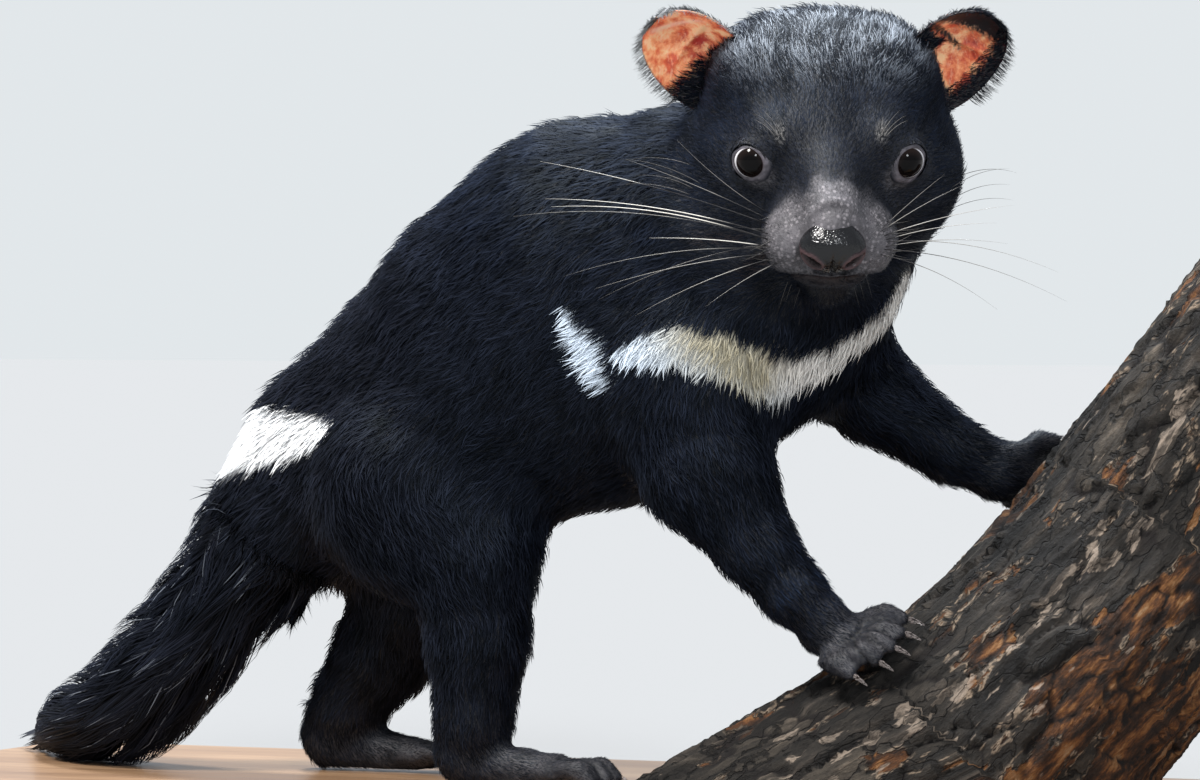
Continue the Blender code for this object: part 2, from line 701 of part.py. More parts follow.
def claw(name, root, forward, up, look):
    """A curved, pointed claw of five sides."""
    axes = frame_of(forward, up)
    length = CLAW_LENGTH
    vertices = []
    rings = (0.0, 0.45, 0.8)
    for share in rings:
        middle = np.array([share * length, 0.0, -CLAW_HOOK * length * share * share])
        girth = CLAW_RADIUS * (1.0 - 0.78 * share ** 1.3)
        for k in range(5):
            angle = 2 * math.pi * (k + 0.5) / 5
            section = np.array([0.0, 0.8 * math.cos(angle), 1.2 * math.sin(angle)])
            vertices.append(middle + girth * section)
    vertices.append(np.array([length, 0.0, -CLAW_HOOK * length]))
    faces = [tuple(range(4, -1, -1))]
    for ring in range(len(rings) - 1):
        for k in range(5):
            a, b = 5 * ring + k, 5 * ring + (k + 1) % 5
            faces.append((a, b, b + 5, a + 5))
    last = 5 * (len(rings) - 1)
    faces += [(last + k, last + (k + 1) % 5, len(vertices) - 1) for k in range(5)]
    placed = [axes @ v + np.array(root) for v in vertices]
    return finish(mesh_object(name, placed, faces), look)


def claws(log, horn):
    """Claws stand a gap in front of the toe that carries each."""
    hand = ("hand", HAND_TOES, HAND_TOE_LENGTH, HAND_TOE_DROP)
    foot = ("foot", FOOT_TOES, FOOT_TOE_LENGTH, FOOT_TOE_DROP)
    paws = {"right": (HAND_RIGHT, FOOT_RIGHT), "left": (HAND_LEFT, FOOT_LEFT)}
    for side in ("right", "left"):
        for (kind, knuckles, length, drop), paw in zip((hand, foot), paws[side]):
            place, forward, up = paw
            axes = frame_of(forward, up)
            for number, knuckle in enumerate(knuckles, 1):
                joints = toe_joints(knuckle, length, drop)
                tip = np.array(joints[2])
                way = tip - np.array(joints[1])
                way = way / np.linalg.norm(way)
                start = tip + way * (TOE_END_RADIUS - 0.5)
                lift = 1.0 if kind == "foot" else 0.6
                aim = Vector(axes @ (way + np.array([0.0, 0.0, 0.30])))
                root = axes @ (start + np.array([0.0, 0.0, lift])) + np.array(place)
                piece = claw(f"claw_{kind}_{side}_{number}", root, aim, up, horn)
                part_from(piece, bpy.data.objects[f"{kind}_{side}"])
                if kind == "hand":
                    part_from(piece, log)
                else:
                    stand_on_base(piece)
                finish(piece, horn)


def head_zone(spare):
    """The egg round the head that parts it from the neck."""
    centre, radii = HEAD_ZONE
    points = []
    for ring in range(1, 10):
        lift = math.pi * ring / 10
        for k in range(18):
            turn = 2 * math.pi * k / 18
            way = (math.cos(lift), math.sin(lift) * math.cos(turn), math.sin(lift) * math.sin(turn))
            points.append(from_head([c + (r + spare) * w for c, r, w in zip(centre, radii, way)]))
    return hull_of("head_zone", points)


def neck_and_head(fur, skin):
    neck = block_piece("neck", *NECK_BLOCK, NECK_STEP, NECK_FACES, (flipped(NECK_CUT),), fur)
    combine(neck, head_zone(GAP), "DIFFERENCE")
    part_from_legs(neck, ("upper_arm_right", "upper_arm_left"))
    keep_largest(neck)
    finish(neck, fur)
    head = mesh_object("head", *surface_of(flesh, *HEAD_BLOCK, HEAD_STEP, HEAD_AXES, HEAD_AT))
    keep_largest(head)
    thin_out(head, HEAD_FACES)
    slice_off(head, *flipped(NECK_CUT))
    combine(head, head_zone(0.0), "INTERSECT")
    for side in (1, -1):
        place = from_head(mirrored(EYE_AT, side))
        combine(head, eyeball("socket", place, EYE_RADIUS + GAP + 0.15), "DIFFERENCE")
    sides = (-NOSE_CUT_Y, NOSE_CUT_Y)
    corners = [(x, y, z) for x in (NOSE_CUT_X, 90.0) for y in sides for z in (NOSE_CUT_Z, 12.0)]
    combine(head, hull_of("nose_zone", [from_head(c) for c in corners]), "DIFFERENCE")
    keep_largest(head)
    finish(head, fur)
    nose = mesh_object("nose", *surface_of(flesh, *NOSE_BLOCK, NOSE_STEP, HEAD_AXES, HEAD_AT))
    thin_out(nose, NOSE_FACES)
    forward, left, upward = HEAD_AXES.T
    slice_off(nose, from_head((NOSE_CUT_X, 0, 0)), -forward, GAP)
    slice_off(nose, from_head((0, 0, NOSE_CUT_Z)), -upward, GAP)
    for side in (1, -1):
        slice_off(nose, from_head((NOSE_CUT_X, side * NOSE_CUT_Y, 0)), side * left, GAP)
    keep_largest(nose)
    finish(nose, skin)


def eyeball(name, place, radius):
    bm = bmesh.new()
    bmesh.ops.create_uvsphere(bm, u_segments=16, v_segments=10, radius=radius * MM)
    mesh = bpy.data.meshes.new(name)
    bm.to_mesh(mesh)
    bm.free()
    mesh.transform(Matrix.Translation(Vector(place) * MM))
    obj = bpy.data.objects.new(name, mesh)
    bpy.context.scene.collection.objects.link(obj)
    return obj


def eyes(look):
    for side, name in ((1, "left"), (-1, "right")):
        finish(eyeball("eye_" + name, from_head(mirrored(EYE_AT, side)), EYE_RADIUS), look)


def ear(name, side, look):
    """A thin cup: wide and round above, folded together towards its root."""
    rise = np.array(mirrored(EAR_RISE, side))
    face = np.array(mirrored(EAR_FACE, side))
    up = rise / np.linalg.norm(rise)
    out = face - up * (face @ up)
    out = out / np.linalg.norm(out)
    across = np.cross(up, out)
    rows, columns = 8, 9
    outline = []
    for row in range(rows):
        swing = -0.85 + 2.33 * row / (rows - 1)
        share = (math.sin(swing) + math.sin(0.85)) / (1.0 + math.sin(0.85))
        half = EAR_HALF_WIDTH * math.cos(swing) ** 0.9
        for column in range(columns):
            u = -1.0 + 2.0 * column / (columns - 1)
            bow = EAR_CUP * (1.0 - u * u) * half / EAR_HALF_WIDTH
            height = (EAR_HEIGHT + EAR_SUNK) * share - EAR_SUNK
            tip_curl = 3.0 * share * share
            outline.append(across * (half * u) + up * height + out * (tip_curl - bow))
    outline = np.array(outline)
    behind = outline - out * EAR_THICK
    root = np.array(EAR_ROOT) * (1.0, side, 1.0)
    vertices = [from_head(p + root) for p in np.concatenate([outline, behind])]
    count = rows * columns
    faces = []
    for row in range(rows - 1):
        for column in range(columns - 1):
            a = row * columns + column
            quad = (a, a + 1, a + 1 + columns, a + columns)
            faces.append(quad)
            faces.append(tuple(count + i for i in reversed(quad)))
    border = [c for c in range(columns)]
    border += [r * columns + columns - 1 for r in range(1, rows)]
    border += [(rows - 1) * columns + c for c in range(columns - 2, -1, -1)]
    border += [r * columns for r in range(rows - 2, 0, -1)]
    for a, b in zip(border, border[1:] + border[:1]):
        faces.append((a, a + count, b + count, b))
    piece = mesh_object(name, vertices, faces)
    bm = bmesh.new()
    bm.from_mesh(piece.data)
    bmesh.ops.recalc_face_normals(bm, faces=bm.faces[:])
    bmesh.ops.triangulate(bm, faces=bm.faces[:])
    bm.to_mesh(piece.data)
    bm.free()

    def near_flesh(points):
        return flesh(points) - EAR_CLEAR

    ends = sorted(corner[1] * side for corner in EAR_SPACE)
    low, high = ((x, end, z) for (x, _, z), end in zip(EAR_SPACE, ends))
    cut = mesh_object("ear_cut", *surface_of(near_flesh, low, high, EAR_STEP, HEAD_AXES, HEAD_AT))
    combine(piece, cut, "DIFFERENCE")
    keep_largest(piece)
    return finish(piece, look)


def core_share(along):
    """How much of the coat's reach the tail's solid core fills, from its root to its tip."""
    return TAIL_CORE + (1.0 - TAIL_CORE) * np.clip(1.0 - along / TAIL_BARE, 0.0, 1.0) ** 2


def tail_core(points):
    points = points.astype(np.float32)
    middles, reach, _ = along_line(TAIL, TAIL_SAMPLES)
    share = core_share(np.linspace(0.0, 1.0, TAIL_SAMPLES))
    return blend(limb(points, np.column_stack([middles, reach * share])), flesh(points), 8.0)


def tail_lock(number, start, turn, length, width, rng):
    """A flat tapered lock that leaves the core, bends along the tail and ends at the coat's reach."""
    middles, reach, ways = along_line(TAIL, TAIL_SAMPLES)
    ticks = np.linspace(0.0, 1.0, TAIL_SAMPLES)
    whole = np.linalg.norm(np.diff(middles, axis=0), axis=1).sum()
    curl = rng.uniform(-0.22, 0.22)
    ends_at = rng.uniform(0.94, 1.06)
    root = float(np.interp(start, ticks, reach) * core_share(start)) - LOCK_SUNK
    vertices = []
    for share in LOCK_STATIONS:
        along = start + share * length / whole
        spine = np.array([np.interp(along, ticks, middles[:, k]) for k in range(3)])
        way = np.array([np.interp(along, ticks, ways[:, k]) for k in range(3)])
        way = way / np.linalg.norm(way)
        spine = spine + way * max(along - 1.0, 0.0) * whole
        upward = np.array([0.0, 0.0, 1.0]) - way * way[2]
        upward = upward / np.linalg.norm(upward)
        side = np.cross(way, upward)
        angle = turn + curl * share
        outward = math.cos(angle) * upward + math.sin(angle) * side
        across = np.cross(way, outward)
        tip = ends_at * float(np.interp(along, ticks, reach)) * (1.0 if along < 1.0 else 0.35)
        away = root + (tip - root) * (1.0 - (1.0 - share) ** 1.8)
        half = 0.5 * width * (1.0 - share ** 1.6)
        thick = LOCK_THICK * (1.0 - 0.8 * share)
        middle = spine + outward * away
        if share < 1.0:
            vertices += [middle - across * half, middle + across * half, middle + outward * thick]
        else:
            vertices.append(middle)
    rings = len(LOCK_STATIONS) - 1
    faces = [(0, 2, 1)]
    for ring in range(rings - 1):
        for k in range(3):
            a, b = 3 * ring + k, 3 * ring + (k + 1) % 3
            faces += [(a, b, b + 3), (a, b + 3, a + 3)]
    last = 3 * (rings - 1)
    faces += [(last + k, last + (k + 1) % 3, len(vertices) - 1) for k in range(3)]
    piece = mesh_object(f"tail_lock_{number}", vertices, faces)
    bm = bmesh.new()
    bm.from_mesh(piece.data)
    bmesh.ops.recalc_face_normals(bm, faces=bm.faces[:])
    bm.to_mesh(piece.data)
    bm.free()
    return piece


def tail(fur):
    """A slim core under overlapping locks, which are joined to it by one union."""
    piece = mesh_object("tail", *surface_of(tail_core, *TAIL_BLOCK, TAIL_STEP))
    thin_out(piece, TAIL_FACES)
    rng = np.random.default_rng(11)
    locks = bpy.data.collections.new("tail_locks")
    for row in range(LOCK_ROWS):
        start = LOCK_FIRST + (LOCK_LAST - LOCK_FIRST) * row / (LOCK_ROWS - 1)
        count = LOCKS_ROUND if row < LOCK_ROWS - 1 else LOCKS_ROUND - 2
        for k in range(count):
            turn = 2 * math.pi * (k + 0.5 * (row % 2) + rng.uniform(-0.16, 0.16)) / count
            length = LOCK_LENGTH * rng.uniform(0.85, 1.15)
            width = LOCK_WIDTH * rng.uniform(0.85, 1.15) * (1.0 - 0.35 * start)
            nudge = rng.uniform(-0.018, 0.018)
            one = tail_lock(LOCKS_ROUND * row + k, start + nudge, turn, length, width, rng)
            bpy.context.scene.collection.objects.unlink(one)
            locks.objects.link(one)
    union = piece.modifiers.new("Locks", "BOOLEAN")
    union.operation = "UNION"
    union.solver = "EXACT"
    union.operand_type = "COLLECTION"
    union.collection = locks
    apply_modifiers(piece)
    for one in list(locks.objects):
        bpy.data.objects.remove(one)
    bpy.data.collections.remove(locks)
    slice_off(piece, *flipped(TAIL_CUT))
    stand_on_base(piece)
    part_from_legs(piece, ("thigh_right", "thigh_left"))
    part_from(piece, bpy.data.objects["shank_left"])
    finish(piece, fur)


# Log and stand

def perch(look):
    """A cut length of log with furrowed bark, sawn level where it meets the base."""
    middles, radii, ways = along_line(LOG, LOG_RINGS)
    rng = np.random.default_rng(4)
    phases = rng.uniform(0, 2 * math.pi, 6)
    vertices = []
    for ring, (middle, radius, way) in enumerate(zip(middles, radii, ways)):
        side = np.cross(way, (0.0, 0.0, 1.0))
        side = side / np.linalg.norm(side)
        upward = np.cross(side, way)
        for k in range(LOG_SIDES):
            angle = 2 * math.pi * k / LOG_SIDES
            bark = math.sin(5 * angle + phases[0] + 0.22 * ring)
            bark += math.sin(8 * angle + phases[1] - 0.35 * ring)
            bark += math.sin(0.9 * ring + phases[2] + 2 * angle) + 0.7 * rng.uniform(-1, 1)
            girth = radius + BARK_RELIEF * (0.55 * bark - 0.6)
            vertices.append(middle + girth * (math.cos(angle) * side + math.sin(angle) * upward))
    faces = [tuple(range(LOG_SIDES)), tuple(len(vertices) - LOG_SIDES + k for k in range(LOG_SIDES))]
    for ring in range(LOG_RINGS - 1):
        for k in range(LOG_SIDES):
            a = ring * LOG_SIDES + k
            b = ring * LOG_SIDES + (k + 1) % LOG_SIDES
            faces.append((a, b, b + LOG_SIDES, a + LOG_SIDES))
    log = mesh_object("perch_log", vertices, faces)
    bm = bmesh.new()
    bm.from_mesh(log.data)
    bmesh.ops.recalc_face_normals(bm, faces=bm.faces[:])
    bmesh.ops.triangulate(bm, faces=bm.faces[:])
    bm.to_mesh(log.data)
    bm.free()
    stand_on_base(log)
    slice_off(log, (LOG_TOE, 0.0, 0.0), (-1.0, 0.0, 0.0), 0.0)
    keep_largest(log)
    return finish(log, look)


def base(look):
    bm = bmesh.new()
    bmesh.ops.create_cube(bm, size=1.0)
    bmesh.ops.scale(bm, vec=Vector(BASE_SIZE) * MM, verts=bm.verts[:])
    centre = Vector((*BASE_CENTRE, 0.5 * BASE_SIZE[2])) * MM
    bmesh.ops.translate(bm, vec=centre, verts=bm.verts[:])
    top = [e for e in bm.edges if max(v.co.z for v in e.verts) > centre.z]
    bmesh.ops.bevel(bm, geom=top, offset=BASE_EDGE * MM, segments=2, profile=0.5, affect="EDGES")
    mesh = bpy.data.meshes.new("stand_base")
    bm.to_mesh(mesh)
    bm.free()
    obj = bpy.data.objects.new("stand_base", mesh)
    bpy.context.scene.collection.objects.link(obj)
    return finish(obj, look, smooth=False)


def rod(log, look):
    """Stands on the base and ends a gap below the underside of the log."""
    sides = 20
    vertices = []
    for z in (SOLE, ROD_TOP):
        for k in range(sides):
            angle = 2 * math.pi * k / sides
            x, y = ROD_RADIUS * math.cos(angle), ROD_RADIUS * math.sin(angle)
            vertices.append((ROD_AT[0] + x, ROD_AT[1] + y, z))
    faces = [tuple(range(sides - 1, -1, -1)), tuple(range(sides, 2 * sides))]
    faces += [(k, (k + 1) % sides, sides + (k + 1) % sides, sides + k) for k in range(sides)]
    piece = mesh_object("stand_rod", vertices, faces)
    combine(piece, grown(log, GAP), "DIFFERENCE")
    keep_lowest(piece)
    return finish(piece, look)


def keep_lowest(obj):
    """Leaves only the closed surface that reaches lowest."""
    bm = bmesh.new()
    bm.from_mesh(obj.data)
    start = min(bm.verts, key=lambda v: v.co.z)
    kept, stack = {start}, [start]
    while stack:
        for edge in stack.pop().link_edges:
            for vert in edge.verts:
                if vert not in kept:
                    kept.add(vert)
                    stack.append(vert)
    bmesh.ops.delete(bm, geom=[v for v in bm.verts if v not in kept], context="VERTS")
    bm.to_mesh(obj.data)
    bm.free()


def centre_on_base():
    """Moves every piece so that the base stands centred on the origin."""
    shift = Matrix.Translation(Vector((-BASE_CENTRE[0], -BASE_CENTRE[1], 0.0)) * MM)
    for obj in bpy.context.scene.objects:
        obj.data.transform(shift)


def main():
    for obj in list(bpy.data.objects):
        bpy.data.objects.remove(obj)
    fur = material("black coat", (0.012, 0.013, 0.018), 0.75)
    skin = material("grey skin", (0.10, 0.075, 0.07), 0.6)
    nose_skin = material("wet nose", (0.01, 0.01, 0.012), 0.12)
    ear_skin = material("thin ear skin", (0.55, 0.16, 0.08), 0.55)
    eye_look = material("dark eye", (0.008, 0.006, 0.005), 0.05)
    horn = material("pale claw", (0.45, 0.40, 0.36), 0.4)
    bark = material("rough bark", (0.10, 0.075, 0.055), 0.9)
    wood = material("base board", (0.30, 0.20, 0.12), 0.5)
    steel = material("brushed steel", (0.6, 0.6, 0.6), 0.35, 1.0)
    log = perch(bark)
    base(wood)
    rod(log, steel)
    torso = body_pieces(fur)
    leg_pieces(torso, fur)
    foot_pieces(log, skin)
    claws(log, horn)
    neck_and_head(fur, nose_skin)
    eyes(eye_look)
    ear("ear_left", 1, ear_skin)
    ear("ear_right", -1, ear_skin)
    tail(fur)
    centre_on_base()


main()
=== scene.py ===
# A young Tasmanian devil on a leaning log, dressed for the render.
# Places are in the animal's own frame: millimetres, X the way its body faces, Y its left, Z up.
import math

import bpy
import numpy as np
from mathutils import Matrix, Vector, noise
from mathutils.bvhtree import BVHTree


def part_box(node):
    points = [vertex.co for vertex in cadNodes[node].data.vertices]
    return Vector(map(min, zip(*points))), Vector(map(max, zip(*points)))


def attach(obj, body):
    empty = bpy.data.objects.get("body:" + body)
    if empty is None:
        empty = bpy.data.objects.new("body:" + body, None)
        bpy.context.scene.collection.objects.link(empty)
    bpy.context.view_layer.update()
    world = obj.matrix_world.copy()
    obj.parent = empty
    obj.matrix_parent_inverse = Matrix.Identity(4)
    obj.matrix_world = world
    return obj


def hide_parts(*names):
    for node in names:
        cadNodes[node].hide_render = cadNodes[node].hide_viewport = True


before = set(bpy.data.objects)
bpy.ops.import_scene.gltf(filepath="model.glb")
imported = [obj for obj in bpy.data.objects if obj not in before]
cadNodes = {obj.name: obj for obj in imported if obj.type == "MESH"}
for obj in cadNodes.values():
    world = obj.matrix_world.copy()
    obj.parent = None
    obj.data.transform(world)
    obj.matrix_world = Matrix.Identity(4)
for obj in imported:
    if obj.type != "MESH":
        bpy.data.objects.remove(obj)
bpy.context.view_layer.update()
print("frame loaded:", len(cadNodes), "nodes")

mm = 0.001
baseLow, baseHigh = (np.array(corner, float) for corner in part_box("stand_base"))
home = 0.5 * (baseLow + baseHigh) * (1, 1, 0) / mm + (8.0, -26.0, 0.0)
boardTop = baseHigh[2] / mm
chance = np.random.default_rng(7)


def toRow(points):
    return (np.asarray(points, float) + home) * mm


def toAnimal(points):
    return np.asarray(points, float) / mm - home


def unit(rows):
    rows = np.asarray(rows, float)
    return rows / np.maximum(np.linalg.norm(rows, axis=-1, keepdims=True), 1e-9)


def ease(values, low, high):  # 0 below low, 1 above high, smooth between
    share = np.clip((np.asarray(values, float) - low) / (high - low), 0.0, 1.0)
    return share * share * (3.0 - 2.0 * share)


def fall(values, low, high):
    return 1.0 - ease(values, low, high)


def bell(values, width):
    return np.exp(-(values / width) ** 2)


def setting(full):
    return full


# The head's own frame: X out of the nose, Y its left, Z out of the crown
headPose = {"place": (100.2, -20.8, 253.2), "yaw": -64.5, "pitch": -28.0}
headTurn = Matrix.Rotation(math.radians(headPose["yaw"]), 3, "Z")
headAxes = np.array(headTurn @ Matrix.Rotation(math.radians(-headPose["pitch"]), 3, "Y"))
noseTip = np.array((66.0, 0.0, -9.0))
cameraLook = {"target": (0.0, 0.0, 162.48), "azimuth": 24.0, "rise": 1.0, "away": 2.4,
              "width": 1200 * 0.38 * mm}


def fromHead(points):
    return np.asarray(points, float) @ headAxes.T + headPose["place"]


def inHead(points):
    return (np.asarray(points, float) - headPose["place"]) @ headAxes


def onSide(place, side):  # side is 1 for the left and -1 for the right
    return np.array((place[0], place[1] * side, place[2]))


# Shaders

class Flow:
    # one output of a shader node: sums on it add Math nodes
    def __init__(self, paint, socket):
        self.paint, self.socket = paint, socket

    def sum(self, operation, first, second):
        return self.paint.add("ShaderNodeMath", {"operation": operation}, {0: first, 1: second})

    def __add__(self, other):
        return self.sum("ADD", self, other)

    def __sub__(self, other):
        return self.sum("SUBTRACT", self, other)

    def __rsub__(self, other):
        return self.sum("SUBTRACT", other, self)

    def __mul__(self, other):
        return self.sum("MULTIPLY", self, other)

    __radd__ = __add__
    __rmul__ = __mul__


class Paint:
    # one procedural material, with a Principled surface whose constants are set here
    def __init__(self, name, finish):
        self.material = bpy.data.materials.new(name)
        self.material.use_nodes = True
        self.tree = self.material.node_tree
        self.tree.nodes.clear()
        self.surface = self.tree.nodes.new("ShaderNodeBsdfPrincipled")
        output = self.tree.nodes.new("ShaderNodeOutputMaterial")
        self.tree.links.new(self.surface.outputs[0], output.inputs[0])
        for label, value in finish.items():
            self.put(self.surface.inputs[label], value)

    def put(self, socket, value):
        if isinstance(value, Flow):
            self.tree.links.new(value.socket, socket)
        elif socket.type == "RGBA":
            socket.default_value = (*value[:3], 1.0)
        else:
            socket.default_value = value

    def feed(self, label, value):
        self.put(self.surface.inputs[label], value)

    def add(self, kind, settings=None, sockets=None, out=0):
        node = self.tree.nodes.new(kind)
        for key, value in (settings or {}).items():
            if key != "stops":
                setattr(node, key, value)
                continue
            ramp = node.color_ramp
            ramp.elements.remove(ramp.elements[1])
            ramp.elements[0].position, ramp.elements[0].color = value[0][0], (*value[0][1], 1.0)
            for place, colour in value[1:]:
                ramp.elements.new(place).color = (*colour, 1.0)
        for key, value in (sockets or {}).items():
            self.put(node.inputs[key], value)
        return Flow(self, node.outputs[out])

    def mark(self, name):  # a value painted on the mesh
        return self.add("ShaderNodeAttribute", {"attribute_name": name}, out=2)

    def place(self):
        return self.add("ShaderNodeTexCoord", out=3)

    def stretched(self, where, x, y, z):
        return self.add("ShaderNodeMapping", sockets={0: where, 3: (x, y, z)})

    def grain(self, where, scale, detail=3.0, rough=0.55):
        return self.add("ShaderNodeTexNoise", sockets={"Vector": where, "Scale": scale, "Detail": detail,
                                                       "Roughness": rough})

    def cells(self, where, scale, feature="F1"):
        return self.add("ShaderNodeTexVoronoi", {"feature": feature}, {"Vector": where, "Scale": scale})

    def step(self, value, low, high):
        return self.add("ShaderNodeMapRange", {"interpolation_type": "SMOOTHSTEP"},
                        {0: value, 1: low, 2: high, 3: 0.0, 4: 1.0})

    def mix(self, share, first, second, way="MIX"):
        return self.add("ShaderNodeMix", {"data_type": "RGBA", "blend_type": way},
                        {0: share, 6: first, 7: second}, out=2)

    def times(self, colour, tint, share=1.0):
        return self.mix(share, colour, tint, "MULTIPLY")

    def warped(self, where, share, scale):  # a place pushed about by noise
        push = self.add("ShaderNodeTexNoise", sockets={"Vector": where, "Scale": scale}, out=1)
        return self.mix(share, where, push, "LINEAR_LIGHT")

    def streaked(self, where, x, y, z, detail=2.0):
        return self.grain(self.stretched(where, x, y, z), 1.0, detail)

    def ramp(self, value, stops):
        return self.add("ShaderNodeValToRGB", {"stops": stops}, {0: value})

    def bump(self, height, strength, reach):
        self.feed("Normal", self.add("ShaderNodeBump", sockets={
            "Strength": strength, "Distance": reach * mm, "Height": height}))


# Meshes

def addMesh(name, points, faces):
    # faces is a list of arrays, each with rows of one length
    mesh = bpy.data.meshes.new(name)
    faces = [np.asarray(f, np.int32) for f in faces if len(f)]
    corners = np.concatenate([f.ravel() for f in faces])
    sizes = np.concatenate([np.full(len(f), f.shape[1]) for f in faces])
    mesh.vertices.add(len(points))
    mesh.vertices.foreach_set("co", toRow(points).astype(np.float32).ravel())
    mesh.loops.add(len(corners))
    mesh.loops.foreach_set("vertex_index", corners)
    mesh.polygons.add(len(sizes))
    mesh.polygons.foreach_set("loop_start", (np.cumsum(sizes) - sizes).astype(np.int32))
    mesh.polygons.foreach_set("use_smooth", np.full(len(sizes), True))
    mesh.update(calc_edges=True)
    made = bpy.data.objects.new(name, mesh)
    bpy.context.scene.collection.objects.link(made)
    return made


def addPiece(name, points, faces, paint, stands=(), marks=None):
    piece = addMesh(name, points, faces)
    for label, values in (marks or {}).items():
        piece.data.attributes.new(label, "FLOAT", "POINT").data.foreach_set(
            "value", np.asarray(values, np.float32).ravel())
    piece.data.materials.append(paint.material)
    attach(piece, "root")
    if stands:
        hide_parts(*stands)
    return piece


def repaint(node, paint):
    node.data.materials.clear()
    node.data.materials.append(paint.material)


def shapeOf(obj):
    # the evaluated mesh as vertices and faces in rows of three or four
    shown = obj.evaluated_get(bpy.context.evaluated_depsgraph_get())
    mesh = shown.to_mesh()
    points = np.empty(len(mesh.vertices) * 3, np.float32)
    mesh.vertices.foreach_get("co", points)
    corners = np.empty(len(mesh.loops), np.int32)
    mesh.loops.foreach_get("vertex_index", corners)
    sizes = np.empty(len(mesh.polygons), np.int32)
    mesh.polygons.foreach_get("loop_total", sizes)
    starts = np.cumsum(sizes) - sizes
    faces = [corners[starts[sizes == n][:, None] + np.arange(n)] for n in (3, 4)]
    shown.to_mesh_clear()
    return toAnimal(points.reshape(-1, 3)), faces


def lastShape(draft):
    shape = shapeOf(draft)
    bpy.data.objects.remove(draft)
    return shape


def weldedShape(node):
    # the frame's meshes are split at sharp edges, so equal points are made one
    points, faces = shapeOf(node)
    kept, back = np.unique(np.round(points, 3), axis=0, return_inverse=True)
    return kept, back.reshape(-1)[trianglesOf(faces)]


def remeshed(points, faces, voxel):
    # one closed surface round all that the faces enclose
    draft = addMesh("draft", points, faces)
    even = draft.modifiers.new("even", "REMESH")
    even.mode, even.voxel_size = "VOXEL", voxel * mm
    return lastShape(draft)


def trianglesOf(faces):
    return np.concatenate([f if f.shape[1] == 3 else np.concatenate([f[:, [0, 1, 2]], f[:, [0, 2, 3]]])
                           for f in faces if len(f)])


def normalsOf(points, triangles):
    a, b, c = (points[triangles[:, k]] for k in range(3))
    across = np.cross(b - a, c - a)
    total = np.stack([sum(np.bincount(triangles[:, k], across[:, axis], len(points)) for k in range(3))
                      for axis in range(3)], axis=1)
    return unit(total)


def relaxed(points, triangles, rounds):
    # smooths without shrinking: each step in is followed by a slightly larger one out
    ends = np.concatenate([triangles[:, [0, 1]], triangles[:, [1, 2]], triangles[:, [2, 0]]])
    one = np.concatenate([ends[:, 0], ends[:, 1]])
    two = np.concatenate([ends[:, 1], ends[:, 0]])
    count = np.maximum(np.bincount(one, minlength=len(points)), 1)[:, None]
    for share in (0.5, -0.52) * rounds:
        mean = np.stack([np.bincount(one, points[two, axis], len(points)) for axis in range(3)], axis=1)
        points = points + share * (mean / count - points)
    return points


def curveThrough(joints, count):
    # even steps on a smooth curve through joints of any width
    knots = np.array(joints, float)
    ends = np.vstack([2 * knots[0] - knots[1], knots, 2 * knots[-1] - knots[-2]])
    rows = []
    for a, b, c, d in zip(ends, ends[1:], ends[2:], ends[3:]):
        for t in np.arange(0.0, 1.0, 0.05):
            rows.append(0.5 * (2 * b + (c - a) * t + (2 * a - 5 * b + 4 * c - d) * t * t
                               + (3 * b - a - 3 * c + d) * t ** 3))
    rows = np.array(rows + [knots[-1]])
    reach = np.concatenate([[0.0], np.cumsum(np.linalg.norm(np.diff(rows[:, :3], axis=0), axis=1))])
    at = np.linspace(0.0, reach[-1], count)
    return np.stack([np.interp(at, reach, rows[:, k]) for k in range(rows.shape[1])], axis=1)


def turnsOf(count):
    return 2 * math.pi * np.arange(count) / count


def ringQuads(rings, sides, closed=False):
    # faces between rings of points; closed joins the last ring to the first
    ring = np.arange(rings if closed else rings - 1)[:, None] * sides
    a = (ring + np.arange(sides)).ravel()
    b = (ring + (np.arange(sides) + 1) % sides).ravel()
    total = rings * sides
    return np.stack([a, (a + sides) % total, (b + sides) % total, b], axis=1)


def tube(middles, radii, sides):
    # rings across a path, closed by a point at each end
    middles = np.asarray(middles, float)
    ways = unit(np.gradient(middles, axis=0))
    up = unit(np.cross(ways, np.cross((0.2, 0.3, 0.93), ways)))
    across = np.cross(ways, up)
    turn = turnsOf(sides)
    ring = np.cos(turn)[None, :, None] * up[:, None] + np.sin(turn)[None, :, None] * across[:, None]
    points = (middles[:, None] + ring * np.asarray(radii, float)[:, None, None]).reshape(-1, 3)
    last = len(points)
    here = np.arange(sides)
    after = (here + 1) % sides
    caps = np.concatenate([np.stack([np.full(sides, last), here, after], axis=1),
                           np.stack([np.full(sides, last + 1), last - sides + after, last - sides + here],
                                    axis=1)])
    return np.concatenate([points, middles[[0, -1]]]), [ringQuads(len(middles), sides), caps]


def joined(shapes):
    # several (points, faces) as one
    points, triples, quads, start = [], [], [], 0
    for shape, faces in shapes:
        points.append(shape)
        for f in faces:
            if len(f):
                (triples if f.shape[1] == 3 else quads).append(np.asarray(f) + start)
        start += len(shape)
    return np.concatenate(points), [np.concatenate(f) for f in (triples, quads) if f]


def alongLine(points, a, b):
    # how far along the line from a to b each point is, its offset from there, and the whole line
    start, step = np.array(a[:3], float), np.array(b[:3], float) - np.array(a[:3], float)
    share = np.clip((points - start) @ step / (step @ step), 0.0, 1.0)
    return share, points - start - share[:, None] * step, step


def turnRound(away, step, upward):
    # the angle of each offset round a line
    side = unit(np.cross(step, upward))
    return np.arctan2(away @ side, away @ unit(np.cross(side, step)))


# Lie and length of the coat

